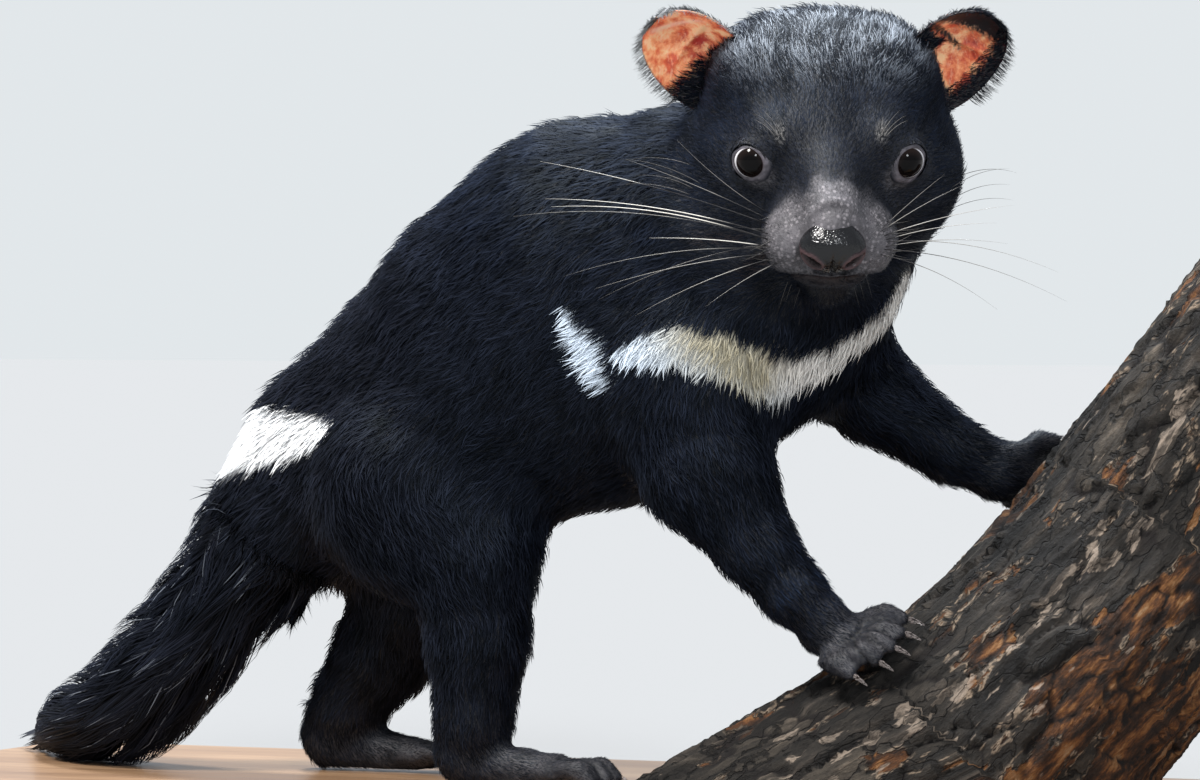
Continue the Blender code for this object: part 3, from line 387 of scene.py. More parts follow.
chains = {  # joints in the way the hair lies: place, radius, length of the coat
    "neck": ((88, 4, 243, 43, 6), (76, 9, 229, 47, 6.5), (50, -1, 216, 50, 7)),
    "spine": ((58, 0, 211, 54, 7), (38, -2, 201, 66, 7), (3, -4, 192, 74, 7), (-30, -4, 177, 66, 7.5),
              (-63, -3, 161.5, 51, 8.5), (-108, -1, 136.5, 40.5, 10), (-133, 0, 115, 28, 12)),
    "foreRight": ((48, -30, 170, 35.5, 7.5), (60.5, -37, 134, 25.5, 6.5), (79.5, -36.5, 106, 15.5, 5.2),
                  (101.5, -28.5, 79.5, 11, 3.6), (113, -27, 71, 10, 2.4), (127, -35, 69, 8, 1.7)),
    "foreLeft": ((68, 32, 189, 31.5, 7.5), (94, 46, 160, 18.5, 6.5), (121, 58, 139.5, 13.5, 5),
                 (136, 66, 133, 11, 3.6), (143, 76, 131, 10, 2.4), (148, 92, 133, 8, 1.7)),
    "hindRight": ((-68, -22, 130, 36, 9), (-40, -26.5, 99, 24.5, 7.5), (-38.5, -27.5, 68, 20, 6.5),
                  (-40.5, -27, 38, 15.5, 5), (-41, -27, 24, 11, 3.4), (-14, -27.5, 20, 9, 2.3),
                  (8, -28, 18, 8, 1.7)),
    "hindLeft": ((-92, 22, 126, 33, 9), (-88, 28, 86, 26, 7.5), (-105, 30, 60, 20.5, 6.5),
                 (-122, 30, 38, 15.5, 5), (-124, 30, 24, 11, 3.4), (-99, 31, 20, 9, 2.3),
                 (-77, 32, 18, 8, 1.7)),
}
chainNames = [*chains, "head"]
headHair = {"growth": 0.07, "least": 1.1, "most": 5.4, "chin": 2.2}  # "chin" is added below the chin
eyePlace = {"at": (26.5, 27.3, 9.0), "socket": (0.87, 0.46, 0.09), "radius": 7.9}


def headShareOf(points):
    local = (inHead(points) - (21.0, 0.0, 5.0)) / (66.0, 64.0, 63.0)
    return fall(np.linalg.norm(local, axis=1), 0.84, 1.08)


def nearEye(local):  # distance from the line out of the nearer eye, in the head's frame
    nearest = np.full(len(local), 99.0)
    for side in (1, -1):
        aim = unit(onSide(eyePlace["socket"], side))
        away = local - onSide(eyePlace["at"], side)
        along = away @ aim
        across = np.linalg.norm(away - along[:, None] * aim, axis=1)
        nearest = np.minimum(nearest, np.where(along > -3.0, across, 99.0))
    return nearest


def coatPlan(points):
    # for each point: the hair's way and length, the nearest chain, how far down it and the turn round it,
    # and how far the point is inside the head
    points = np.asarray(points, float)
    way, best = np.zeros((len(points), 3)), np.full(len(points), 1e9)
    weights, lengths, chain, down, turn = (np.zeros(len(points)) for _ in range(5))
    for number, name in enumerate(chains):
        trunk, walked = name in ("neck", "spine"), 0.0
        for a, b in zip(chains[name], chains[name][1:]):
            share, away, step = alongLine(points, a, b)
            size, distance = np.linalg.norm(step), np.linalg.norm(away, axis=1)
            radius = a[3] + (b[3] - a[3]) * share
            weight = np.exp(-np.maximum(distance - radius, 0.0) / 5.0)
            way += weight[:, None] * (step / size - (0.0, 0.0, 0.38 * trunk))
            lengths += weight * (a[4] + (b[4] - a[4]) * share)
            weights += weight
            closer = distance / radius < best
            best = np.where(closer, distance / radius, best)
            chain = np.where(closer, number, chain)
            down = np.where(closer, walked + size * share, down)
            angle = turnRound(away, step, (0.0, 0.0, 1.0) if trunk else (0.0, 1.0, 0.0))
            turn = np.where(closer, angle, turn)
            walked += size
    inside, local = headShareOf(points), inHead(points)
    face = unit((local - noseTip) * (1.0, 1.0, 0.9) + (-12.0, 0.0, 0.0))
    way = unit(unit(way) * (1.0 - inside[:, None]) + (face @ headAxes.T) * inside[:, None])
    reach = np.linalg.norm(local - noseTip, axis=1)
    faceLength = np.clip(headHair["growth"] * reach + 0.2, headHair["least"], headHair["most"])
    faceLength += headHair["chin"] * fall(local[:, 2], -36.0, -27.0)
    lengths = lengths / np.maximum(weights, 1e-9) * (1.0 - inside) + faceLength * inside
    onHead = inside > 0.5
    return {"way": way, "length": lengths, "inside": inside,
            "chain": np.where(onHead, chainNames.index("head"), chain).astype(int),
            "down": np.where(onHead, 70.0 - local[:, 0], down),
            "turn": np.where(onHead, np.arctan2(local[:, 1], local[:, 2] + 6.0), turn)}


def depthOf(lengths, inside):  # how far the tips stand over the skin
    return np.clip((0.34 - 0.08 * inside) * lengths + 0.1, 0.35, 4.0)


# Markings, with painted shade and painted sheen, the same for skin and coat

whitePatches = {  # chains of (x, y, z, reach)
    "rump": ((-147, -12, 144, 11.5), (-131, -22, 147, 11.5), (-115, -30, 147, 9.5), (-99, -39, 151, 6.5)),
    "shoulder": ((14.5, -62, 195, 2.5), (17, -62, 187, 4), (23, -61.5, 178, 6.5), (27, -60.5, 169, 5.5)),
    "chestRight": ((36, -63, 178, 3), (46, -63, 180.5, 5.5), (57, -60.5, 181.5, 7.5), (68, -57, 179.5, 8.5)),
    "chestMiddle": ((68, -57, 179.5, 8.5), (77.6, -49.5, 176, 8.2), (88, -33.5, 168, 9),
                    (92.5, -25.5, 169.5, 8)),
    "chestLeft": ((92.5, -25.5, 169.5, 8), (99, -14, 173.5, 6.5), (107.5, -4.5, 181, 7), (114, 8, 191, 8),
                   (121, 14, 205, 7)),
    "rumpLeft": ((-140, 14, 140, 6), (-125, 26, 140, 8), (-110, 31, 142, 5)),
}
spots = {  # the first two in the head's frame, for the left side
    "brow": (32.0, 18.5, 22.0), "eyeCorner": (34.8, 25.4, 4.0), "wrist": (97.0, -31.0, 85.0),
    "cream": ((66, -57, 187, 17), (74, -52, 183, 18), (82, -43, 175, 15)),
}


def reachOf(points, joints):
    # distance from a tapered chain, as a share of its reach there
    nearest = np.full(len(points), 99.0)
    for a, b in zip(joints, joints[1:]):
        share, away, _ = alongLine(points, a, b)
        nearest = np.minimum(nearest, np.linalg.norm(away, axis=1) / (a[3] + (b[3] - a[3]) * share))
    return nearest


def mouthHeight(x, y):
    return -24.5 + 0.0042 * (46.0 - x) ** 2 * (x < 46.0) - 0.010 * y * y * (x > 30.0)


def marksOf(points):
    points = np.asarray(points, float)
    plan, local = coatPlan(points), inHead(points)
    inside, body = plan["inside"], 1.0 - plan["inside"]
    x, y, z = local.T
    overLip = z - mouthHeight(x, y)
    ragged = np.array([noise.noise(Vector(p) * 0.21) for p in points])
    white, brows = np.zeros(len(points)), np.zeros(len(points))
    for joints in whitePatches.values():
        white = np.maximum(white, fall(reachOf(points, joints) + 0.22 * ragged, 0.86, 1.06))
    # the real cream band on the chest, and painted shade that makes the white darker and browner towards the
    # front
    cream = 0.3 * ease(points[:, 0], 58.0, 88.0) + 0.95 * np.exp(-1.2 * reachOf(points, spots["cream"]) ** 2)
    muzzle = inside * ease(x + 4.0 * ragged, 36.0, 50.0) * ease(overLip, 2.0, 8.0) * fall(z, -2.0, 8.0)
    bridge = inside * ease(x + 5.0 * ragged, 45.0, 54.0) * ease(z, -8.0, 0.0) * fall(np.abs(y), 9.0, 17.0)
    for side in (1, -1):  # a pale spot over the eye, and bare pale skin below its inner corner
        spot = np.linalg.norm((local - onSide(spots["brow"], side)) / (7.0, 3.2, 5.4), axis=1)
        brows = np.maximum(brows, fall(spot, 0.2, 1.0))
        spot = np.linalg.norm(local - onSide(spots["eyeCorner"], side), axis=1)
        bridge = np.maximum(bridge, 0.6 * inside * fall(spot, 2.0, 7.5))
    lips = inside * fall(np.abs(overLip), 1.2, 4.2) * ease(x, 20.0, 34.0)
    wrist = np.linalg.norm(points - spots["wrist"], axis=1)
    # painted sheen: the black coat turns lighter and bluer towards the top of the back, round the wrist and
    # on the head above the mouth
    paintedSheenOnBody = np.maximum(0.35 * ease(points[:, 2], 190.0, 255.0), 0.9 * fall(wrist, 10.0, 36.0))
    paintedSheenOnHead = 0.5 * inside * fall(-z, 4.0, 26.0) * (1.0 - 0.6 * ease(x, 20.0, 34.0))
    rear, low = fall(points[:, 0], -95.0, -20.0), fall(points[:, 2], 60.0, 120.0)
    return {"white": white, "cream": np.minimum(cream, 1.0), "brows": brows, "lips": lips,
            # painted shade: the white patches of the shoulder and chest are made darker and bluer, as they
            # face away from the light
            "dim": ease(points[:, 0], -40.0, 0.0) * fall(points[:, 0], 80.0, 94.0),
            "silver": inside * ease(z, 24.0, 48.0) * fall(x, 4.0, 30.0),
            "frost": np.maximum(paintedSheenOnHead, body * paintedSheenOnBody),
            "muzzle": np.maximum(muzzle * (1.0 - 0.5 * ease(np.abs(y), 21.0, 28.0)), bridge),
            "chin": inside * ease(x, 28.0, 42.0) * fall(overLip, -9.0, -3.0) * (1.0 - lips),
            "brown": np.maximum(rear, 0.5 * low) * body,
            "foot": fall(plan["length"], 2.2, 4.2) * body}


def coatColours(paint, tone, along):
    # the colours of skin and coat, from the values painted on both
    black = paint.mix(paint.mark("brown"), coatLook["black"], coatLook["brownBlack"])
    black = paint.mix(along * 0.85, black, coatLook["tip"])
    darker, lighter = paint.mix(0.75, black, (0.0, 0.0, 0.0)), paint.times(black, coatLook["lightest"])
    colour = paint.mix(tone, darker, lighter)
    for share, tint in (
            # the first of these is painted sheen, lighter and bluer on the head, the top of the back and the
            # wrist
            (paint.mark("frost") * (0.25 + 0.75 * along) * paint.step(tone, 0.4, 0.9), "frost"),
            (paint.mark("silver") * along * paint.step(tone, 0.54, 0.80), "silver"),
            (paint.mark("muzzle") * paint.step(tone, 0.1, 0.9) * 0.75, "muzzleHair"),
            (paint.mark("brows") * paint.step(tone, 0.35, 0.7) * 0.8, "browHair"),
            (paint.mark("foot") * tone * 0.6, "footHair")):
        colour = paint.mix(share, colour, coatLook[tint])
    # real cream on the chest band, with painted shade towards the front
    pale = paint.mix(paint.mark("cream"), coatLook["white"], coatLook["buffAndShadeColour"])
    pale = paint.mix((1.0 - along) * 0.35, pale, coatLook["paleRoot"])
    # painted shade on the white patches of the shoulder and chest
    pale = paint.times(pale, coatLook["dim"], paint.mark("dim"))
    return paint.mix(paint.mark("white"), colour, pale)


coatLook = {
    "round": 0.45,  # how far a tuft's shading turns to its own sides
    "black": (0.0030, 0.0037, 0.0063), "brownBlack": (0.0044, 0.0038, 0.0044),
    "tip": (0.0085, 0.0110, 0.0185),
    # the second of the two below is painted shade for the white of the shoulder and chest
    "lightest": (1.9, 1.9, 1.95), "dim": (0.68, 0.77, 0.88),  # these two multiply the black and the white
    # the first colour on the next line is the painted sheen
    "frost": (0.0125, 0.0215, 0.046), "silver": (0.60, 0.66, 0.74), "muzzleHair": (0.25, 0.238, 0.25),
    "browHair": (0.21, 0.20, 0.19), "footHair": (0.048, 0.050, 0.058), "white": (0.95, 0.97, 0.99),
    "buffAndShadeColour": (0.60, 0.46, 0.26), "paleRoot": (0.72, 0.68, 0.62),
}

noseLook = {  # the roof is a plane that flattens the top of the ball; a nostril's points have a radius
    "centre": (60.2, 0.0, -9.2), "radii": (8.8, 11.8, 10.6), "rings": 96, "sides": 128, "bed": 0.94,
    "roof": (0.50, 0.20, 0.82), "roofStart": 0.78, "roofShare": 0.55, "holeDepth": 4.6, "rimHeight": 0.75,
    "nostril": ((66.8, 5.8, -13.4, 1.7), (65.8, 7.5, -12.8, 2.3), (63.6, 9.4, -10.8, 1.5),
                (61.3, 10.7, -8.8, 0.8)),
}

# Skin: every node of flesh as one surface, drawn in by the depth of the coat

skinLook = {"voxel": setting(1.15), "kept": 0.46, "grown": 0.4, "rounds": 4, "tailCore": 0.42,
            "hiddenBelow": 4.6, "inset": 0.85, "grooves": 1.5}
tailPath = ((-133, 0, 115, 28), (-163.5, 3.5, 78, 24.8), (-194, 8, 47.5, 23.8), (-217.5, 17, 32.5, 21.5),
            (-242, 33, 27, 17), (-266, 54, 20.5, 8))
fleshNodes = [name for name in cadNodes
              if name.split("_")[0] in ("head", "neck", "torso", "thigh", "shank", "upper", "forearm",
                                        "hand", "foot")]


def tailCoreAt(share):  # the tail's skin as a share of its full girth
    return skinLook["tailCore"] + (0.9 - skinLook["tailCore"]) * fall(share, 0.0, 0.3)


def thinned(points, faces):
    # fewer faces where the coat hides the skin
    draft = addMesh("draft", points, faces)
    plan = coatPlan(points)
    deep = (plan["length"] > skinLook["hiddenBelow"]) & (plan["inside"] < 0.3)
    draft.vertex_groups.new(name="hidden").add(np.flatnonzero(deep).tolist(), 1.0, "REPLACE")
    thin = draft.modifiers.new("thinner", "DECIMATE")
    thin.ratio, thin.vertex_group, thin.vertex_group_factor = skinLook["kept"], "hidden", 1.0
    return lastShape(draft)


def makeSkin():
    shapes = []
    for name in fleshNodes + ["nose"]:
        points, triangles = weldedShape(cadNodes[name])
        if name == "nose":  # only a bed for the pad
            local = (inHead(points) - noseLook["centre"]) * noseLook["bed"]
            points = fromHead(local + noseLook["centre"] - (3.0, 0.0, 0.0))
        shapes.append((points + skinLook["grown"] * normalsOf(points, triangles), [triangles]))
    core = curveThrough(tailPath, 40)
    girth = core[:, 3] * tailCoreAt(np.linspace(0.0, 1.0, len(core)))
    shapes.append(tube(core[:, :3], np.minimum(girth, 26.0), 24))
    points, faces = thinned(*remeshed(*joined(shapes), skinLook["voxel"]))
    triangles = trianglesOf(faces)
    points = relaxed(points, triangles, skinLook["rounds"])
    normals, plan = normalsOf(points, triangles), coatPlan(points)
    onTail = reachOf(points, tailPath[1:]) < 1.0
    inset = np.where(onTail, 0.0, skinLook["inset"] * depthOf(plan["length"], plan["inside"]))
    points = relaxed(points - normals * (inset + skinLook["grown"])[:, None], triangles, 2)
    return points - normals * (skinLook["grooves"] * toeGrooves(points))[:, None], faces


def middleOf(name):
    return toAnimal(np.mean(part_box(name), axis=0))


def toeGrooves(points):
    # how deep each point lies in a groove between two toes, from the places of the claws
    depth = np.zeros(len(points))
    for paw in ("hand_left", "hand_right", "foot_left", "foot_right"):
        middle = middleOf(paw)
        claws = [middleOf(name) for name in cadNodes if name.startswith("claw_" + paw)]
        near = np.flatnonzero(np.linalg.norm(points - np.mean(claws, axis=0), axis=1) < 26.0)
        reaches = []
        for tip in claws:
            share, away, _ = alongLine(points[near], middle + 0.1 * (tip - middle), tip)
            reaches.append(np.linalg.norm(away, axis=1) + 40.0 * (share < 0.05))
        reaches = np.sort(reaches, axis=0)
        groove = bell(reaches[1] - reaches[0], 1.1) * fall(reaches[0], 7.0, 10.0)
        depth[near] = np.maximum(depth[near], groove)
    return depth


skinPoints, skinFaces = makeSkin()
skinTriangles = trianglesOf(skinFaces)
skinNormals = normalsOf(skinPoints, skinTriangles)
skinMarks = marksOf(skinPoints)
print("skin:", len(skinTriangles), "triangles")


def skinPaint():
    paint = Paint("skin of the devil", {"Specular IOR Level": 0.35})
    where = paint.place()
    fine = paint.grain(where, 900.0, 4.0, 0.6)
    blotch = paint.grain(where, 130.0, 3.0)
    colour = coatColours(paint, paint.step(fine, 0.3, 0.7), fine * 0.5)
    muzzle = paint.mix(paint.step(blotch, 0.35, 0.7), (0.048, 0.045, 0.049), (0.108, 0.100, 0.109))
    speckle = 1.0 - paint.step(paint.cells(where, 520.0), 0.14, 0.46)
    muzzle = paint.mix(speckle * 0.6, muzzle, (0.30, 0.275, 0.29))
    lips = paint.mix(blotch, (0.006, 0.003, 0.003), (0.022, 0.009, 0.009))
    colour = paint.mix(paint.mark("muzzle") * 0.9, colour, muzzle)
    colour = paint.mix(paint.mark("lips") * 0.9, colour, lips)
    colour = paint.mix(paint.mark("chin") * 0.8, colour, (0.006, 0.005, 0.005))
    feet = paint.mix(paint.step(blotch, 0.3, 0.7), (0.014, 0.014, 0.017), (0.050, 0.048, 0.053))
    # painted shade: the skin deep in the grooves between the toes is made near black
    feet = paint.mix(paint.mark("groove") * 0.8, feet, (0.004, 0.004, 0.004))
    colour = paint.mix(paint.mark("foot"), colour, feet)
    paint.feed("Base Color", colour)
    paint.feed("Roughness", 0.62 - 0.15 * paint.mark("lips"))
    paint.bump(fine + paint.grain(where, 350.0, 2.0), 0.5, 0.5)
    return paint


addPiece("skin", skinPoints, skinFaces, skinPaint(), stands=fleshNodes + ["tail"],
         marks=skinMarks | {"groove": toeGrooves(skinPoints)})

# Tufts

tuftSettings = {  # tufts to a square millimetre: under coat, guard hair and face
    "density": setting(1.42), "guard": setting(0.34), "faceDensity": setting(2.5),
    "sink": (0.2, 0.5), "width": 0.36, "widthGrowth": 0.030, "mostTriangles": 190000,
}
coatGroups = {"head": ("head",), "neck": ("neck",), "torso": ("spine",),
              "forelegs": ("foreRight", "foreLeft"), "hindlegs": ("hindRight", "hindLeft")}


def tufts(roots, normals, lies, lengths, heights, widths, bends, rings, sink):
    # the points of three-sided tapered tufts that rise, bend and lie along the body
    sides = unit(np.cross(normals, lies))
    rows = []
    for share in np.arange(rings) / rings:
        middle = (roots + lies * (lengths * share)[:, None] + sides * (bends * share ** 2)[:, None]
                  + normals * (heights * (1.0 - (1.0 - share) ** 2) - sink * (1.0 - share) ** 3)[:, None])
        half = (0.5 * widths * (0.7 + 0.8 * share) * (1.0 - share ** 1.8))[:, None]
        rows += [middle - sides * half, middle + sides * half, middle + normals * half * 1.1]
    rows.append(roots + lies * lengths[:, None] + sides * bends[:, None] + normals * heights[:, None])
    return np.stack(rows, axis=1)


def tuftPattern(rings):
    # the triangles of one tuft, how far along it each point is and how far across
    pattern = []
    for ring in range(rings):
        for k in range(3):
            a, b = 3 * ring + k, 3 * ring + (k + 1) % 3
            pattern += [(a, b, b + 3), (a, b + 3, a + 3)] if ring < rings - 1 else [(a, b, 3 * rings)]
    along = np.append(np.repeat(np.arange(rings) / rings, 3), 1.0)
    across = np.append(np.tile((-1.0, 1.0, 0.0), rings), 0.0)
    return np.array(pattern), along, across


def coatPaint():
    paint = Paint("coat of the devil", {
        "Roughness": 0.5, "Specular IOR Level": 0.08, "Specular Tint": (0.70, 0.86, 1.0),
        "Sheen Weight": 0.015, "Sheen Roughness": 0.4, "Sheen Tint": (0.72, 0.82, 1.0)})
    paint.feed("Base Color", coatColours(paint, paint.mark("tone"), paint.mark("along")))
    return paint


def scattered(triangles, density):
    a, b, c = (skinPoints[triangles[:, k]] for k in range(3))
    area = 0.5 * np.linalg.norm(np.cross(b - a, c - a), axis=1)
    count = np.floor(area * density + chance.random(len(area))).astype(int)
    index = np.repeat(np.arange(len(triangles)), count)
    u, v = chance.random(len(index)), chance.random(len(index))
    over = u + v > 1.0
    u, v = np.where(over, 1.0 - u, u), np.where(over, 1.0 - v, v)
    share = np.stack([1.0 - u - v, u, v], axis=1)
    rows = triangles[index]
    roots = np.einsum("ij,ijk->ik", share, skinPoints[rows])
    normals = unit(np.einsum("ij,ijk->ik", share, skinNormals[rows]))
    return roots, normals


def waver(points, scale, seed):
    # smooth noise over the body, for locks that part and gather
    return np.array([noise.noise(Vector((p[0] * scale + seed, p[1] * scale, p[2] * scale))) for p in points])


coatPaintwork = coatPaint()


def patchAt(x, y):  # a place in the coat's map, clear of its edges
    return np.stack([0.01 + 0.98 * x, 0.01 + 0.98 * y], axis=1)


def addCoat(name, rings, points, normals, sides, marks, tone, patch):
    # one mesh of many tufts, shaded softly like the skin below them, each with a small patch of its own in
    # the map named OFBake
    pattern, along, across = tuftPattern(rings)
    count, size = len(normals), len(along)
    faces = (pattern[None] + (np.arange(count) * size)[:, None, None]).reshape(-1, 3)
    spread = {label: np.repeat(values, size) for label, values in marks.items()}
    spread |= {"tone": np.repeat(tone, size), "along": np.tile(along, count)}
    piece = addPiece(name, points.reshape(-1, 3), [faces], coatPaintwork, marks=spread)
    soft = unit(normals[:, None] + sides[:, None] * (coatLook["round"] * across)[None, :, None])
    piece.data.normals_split_custom_set_from_vertices(soft.reshape(-1, 3).astype(np.float32))
    local = np.stack([across * 0.0013, (along - 0.5) * 0.003], axis=1)
    places = np.clip(patch[:, None] + local[None], 0.0, 1.0).reshape(-1, 2)
    layer = piece.data.uv_layers.new(name="OFBake")
    layer.data.foreach_set("uv", places[faces.ravel()].astype(np.float32).ravel())


def inParts(index, rings):
    # an even split that keeps each mesh of tufts within the triangles allowed
    return np.array_split(index, math.ceil(len(index) * (6 * rings - 3) / tuftSettings["mostTriangles"]))


def picked(marks, rows):
    return {label: values[rows] for label, values in marks.items()}


def coatDensities(centres):
    # how many under and guard tufts grow to a square millimetre at each place
    plan, local = coatPlan(centres), inHead(centres)
    inside, body = plan["inside"], 1.0 - plan["inside"]
    onNose = np.linalg.norm((local - noseLook["centre"]) / noseLook["radii"], axis=1) < 1.02
    bare = (inside > 0.5) & ((nearEye(local) < 6.6) | onNose)
    bare |= (centres[:, 2] < boardTop + 1.5) | (reachOf(centres, tailPath[1:]) < 1.0)
    under = tuftSettings["density"] * body + tuftSettings["faceDensity"] * inside
    under = under * (1.0 + 0.5 * fall(plan["length"], 2.5, 5.0) * body)
    guard = tuftSettings["guard"] * ease(plan["length"], 3.0, 6.0) * (1.0 - 0.5 * inside)
    return under * ~bare, guard * ~bare


def coverBody():
    densities = coatDensities(skinPoints[skinTriangles].mean(axis=1))
    layers = [scattered(skinTriangles, density) for density in densities]
    roots, normals = (np.concatenate([layer[k] for layer in layers]) for k in (0, 1))
    count = len(roots)
    guards = np.arange(count) >= len(layers[0][0])
    plan, marks = coatPlan(roots), marksOf(roots)
    inside, way = plan["inside"], plan["way"]
    sway = (0.5 * waver(roots, 0.055, 40.0) + 0.32 * waver(roots, 0.16, 80.0)
            + chance.normal(0.0, 0.16, count) * (1.0 + 0.9 * inside))
    lies = unit(way - normals * np.einsum("ij,ij->i", way, normals)[:, None])
    lies = unit(lies + np.cross(normals, lies) * sway[:, None])
    sides = unit(np.cross(normals, lies))
    eyeRing = fall(nearEye(inHead(roots)), 8.0, 13.0)
    lengths = plan["length"] * (1.0 - 0.55 * eyeRing * inside) * chance.uniform(0.62, 1.0, count)
    lengths = np.where(guards, lengths * 1.25, lengths)
    lift = 1.0 + 0.3 * waver(roots, 0.09, 3.0) + chance.normal(0.0, 0.13, count)
    heights = depthOf(lengths, inside) * lift * (1.0 - 0.22 * ~guards)
    widths = (tuftSettings["width"] + tuftSettings["widthGrowth"] * lengths) * (1.0 - 0.35 * inside)
    widths *= chance.uniform(0.7, 1.3, count)
    bends = lengths * chance.normal(0.0, 0.10, count)
    tone = np.clip(0.5 + 0.45 * waver(roots, 0.12, 9.0) + chance.normal(0.0, 0.25, count), 0.0, 1.0)
    shapes = (roots, normals, lies, lengths, heights, widths, bends)
    far = plan["down"] + 1000.0 * (plan["chain"] % 2)  # keeps the left and right leg apart
    total = 0
    for label, names in coatGroups.items():
        inGroup = np.isin(plan["chain"], [chainNames.index(name) for name in names])
        for kind, chosen, rings in (("under", inGroup & ~guards, 1), ("guard", inGroup & guards, 2)):
            index = np.flatnonzero(chosen)
            total += len(index) * (6 * rings - 3)
            for part, rows in enumerate(inParts(index[np.argsort(far[index])], rings)):
                points = tufts(*(values[rows] for values in shapes), rings, tuftSettings["sink"][rings - 1])
                patch = patchAt(plan["turn"][rows] / (2 * math.pi) + 0.5, np.arange(len(rows)) / len(rows))
                addCoat(f"coat_{label}_{kind}_{part + 1}", rings, points, normals[rows], sides[rows],
                        picked(marks, rows), tone[rows], patch)
    print("coat:", count, "tufts,", total, "triangles")


coverBody()

# Tail: long shaggy strands gathered into locks

tailHair = {"strands": setting(9500), "locks": 330, "length": (26.0, 40.0), "width": 0.75, "rings": 4}


def coverTail():
    path = curveThrough(tailPath, 60)
    ways = unit(np.gradient(path[:, :3], axis=0))
    ticks = np.linspace(0.0, 1.0, len(path))
    rng = np.random.default_rng(12)
    whole = np.linalg.norm(np.diff(path[:, :3], axis=0), axis=1).sum()

    def at(share, angle, away):
        inside = np.clip(share, 0.0, 1.0)
        spine, way = (np.stack([np.interp(inside, ticks, rows[:, k]) for k in range(3)], axis=1)
                      for rows in (path, ways))
        way = unit(way)
        spine = spine + way * (np.maximum(share - 1.0, 0.0) * whole)[:, None]
        up = unit(np.array((0.0, 0.0, 1.0)) - way * way[:, 2:])
        side = np.cross(way, up)
        out = np.cos(angle)[:, None] * up + np.sin(angle)[:, None] * side
        return spine + out * away[:, None], way, out

    def reach(share):
        return np.interp(np.clip(share, 0.0, 1.0), ticks, path[:, 3])

    strands, locks, rings = tailHair["strands"], tailHair["locks"], tailHair["rings"]
    lockAt, lockTurn = rng.uniform(0.02, 0.97, locks), rng.uniform(0.0, 2 * math.pi, locks)
    lockCurl = rng.normal(0.0, 0.22, locks)
    lockEnd = rng.uniform(0.86, 1.1, locks)
    lockStretch = rng.uniform(0.8, 1.2, locks)
    own = rng.integers(0, locks, strands)
    start = np.clip(lockAt[own] + rng.normal(0.0, 0.018, strands), 0.0, 0.985)
    angle = lockTurn[own] + rng.normal(0.0, 0.17, strands)
    length = rng.uniform(*tailHair["length"], strands) * lockStretch[own]
    length *= 0.55 + 0.45 * ease(start, 0.0, 0.25)
    rootAway = reach(start) * tailCoreAt(start) - 1.2
    rows = []
    for k in range(rings + 1):
        share = k / rings
        place = start + length / whole * share
        gather = 0.75 * share
        turned = angle * (1.0 - gather) + lockTurn[own] * gather + lockCurl[own] * share ** 1.3
        tipAway = reach(place) * (lockEnd[own] + rng.normal(0.0, 0.02, strands))
        tipAway = np.where(place > 1.0, reach(place) * 0.6, tipAway)
        away = rootAway + (tipAway - rootAway) * (1.0 - (1.0 - share) ** 2.0)
        middle, way, out = at(place, turned, away)
        side = np.cross(out, way)
        if k == 1:
            outs, sideways = out, side
        half = 0.5 * tailHair["width"] * (0.8 + 0.5 * share) * (1.0 - share ** 1.8)
        rows += [middle - side * half, middle + side * half, middle + out * half] if k < rings else [middle]
    points = np.stack(rows, axis=1)
    points[:, :, 2] = np.maximum(points[:, :, 2], boardTop + 0.6)
    marks = marksOf(points[:, 0])
    marks["silver"] = 0.25 * (rng.random(strands) < 0.1)
    tone = 0.45 + 0.25 * rng.normal(0.0, 1.0, strands) + 0.2 * rng.normal(0.0, 1.0, locks)[own]
    tone = np.clip(tone, 0.0, 1.0)
    for part, rows in enumerate(inParts(np.argsort(start), rings)):
        low, high = start[rows].min(), start[rows].max()
        patch = patchAt(angle[rows] / (2 * math.pi) % 1.0, (start[rows] - low) / max(high - low, 1e-6))
        addCoat(f"coat_tail_{part + 1}", rings, points[rows], outs[rows], sideways[rows], picked(marks, rows),
                tone[rows], patch)
    print("tail:", strands, "strands,", strands * (6 * rings - 3), "triangles")


coverTail()

# Ears: thin cups, warm where light comes through, with a painted glow, painted shade in the middle of the cup
# and along the ridge, and a painted highlight on a fold; dark and furred at root and rim

earLook = {
    "root": (-15.0, 41.5, 21.5), "rise": (-0.10, 0.64, 0.75), "face": (0.93, 0.28, 0.10), "height": 32.0,
    "half": 17.5, "cup": 10.0, "sunk": 10.0, "thick": 1.1, "rows": 56, "columns": 48,
}


def earFrame(side):
    up = unit(onSide(earLook["rise"], side))
    face = onSide(earLook["face"], side)
    out = unit(face - up * (face @ up))
    return up, out, np.cross(up, out)


def earSheet(side, u, share):
    # u runs from -1 to 1 across and share from 0 at the root to 1 at the top
    up, out, across = earFrame(side)
    swing = np.arcsin(np.clip(share * (1.0 + math.sin(0.85)) - math.sin(0.85), -1.0, 1.0))
    half = earLook["half"] * np.maximum(np.cos(swing), 0.02) ** 0.9
    bow = earLook["cup"] * (1.0 - u * u) * half / earLook["half"]
    ridge = 1.7 * bell(share - 0.58 - 0.12 * u, 0.035) * fall(np.abs(u), 0.35, 0.8)
    notch = 1.4 * bell(u + 0.55, 0.13) * fall(share, 0.35, 0.7)
    ripple = 0.5 * np.sin(9.0 * u + 4.0 * share) * ease(np.abs(u), 0.5, 0.95)
    height = (earLook["height"] + earLook["sunk"]) * share - earLook["sunk"]
    forward = 3.0 * share ** 2 - bow + ridge + notch + ripple
    place = across * (half * u)[:, None] + up * height[:, None] + out * forward[:, None]
    return fromHead(place + onSide(earLook["root"], side))


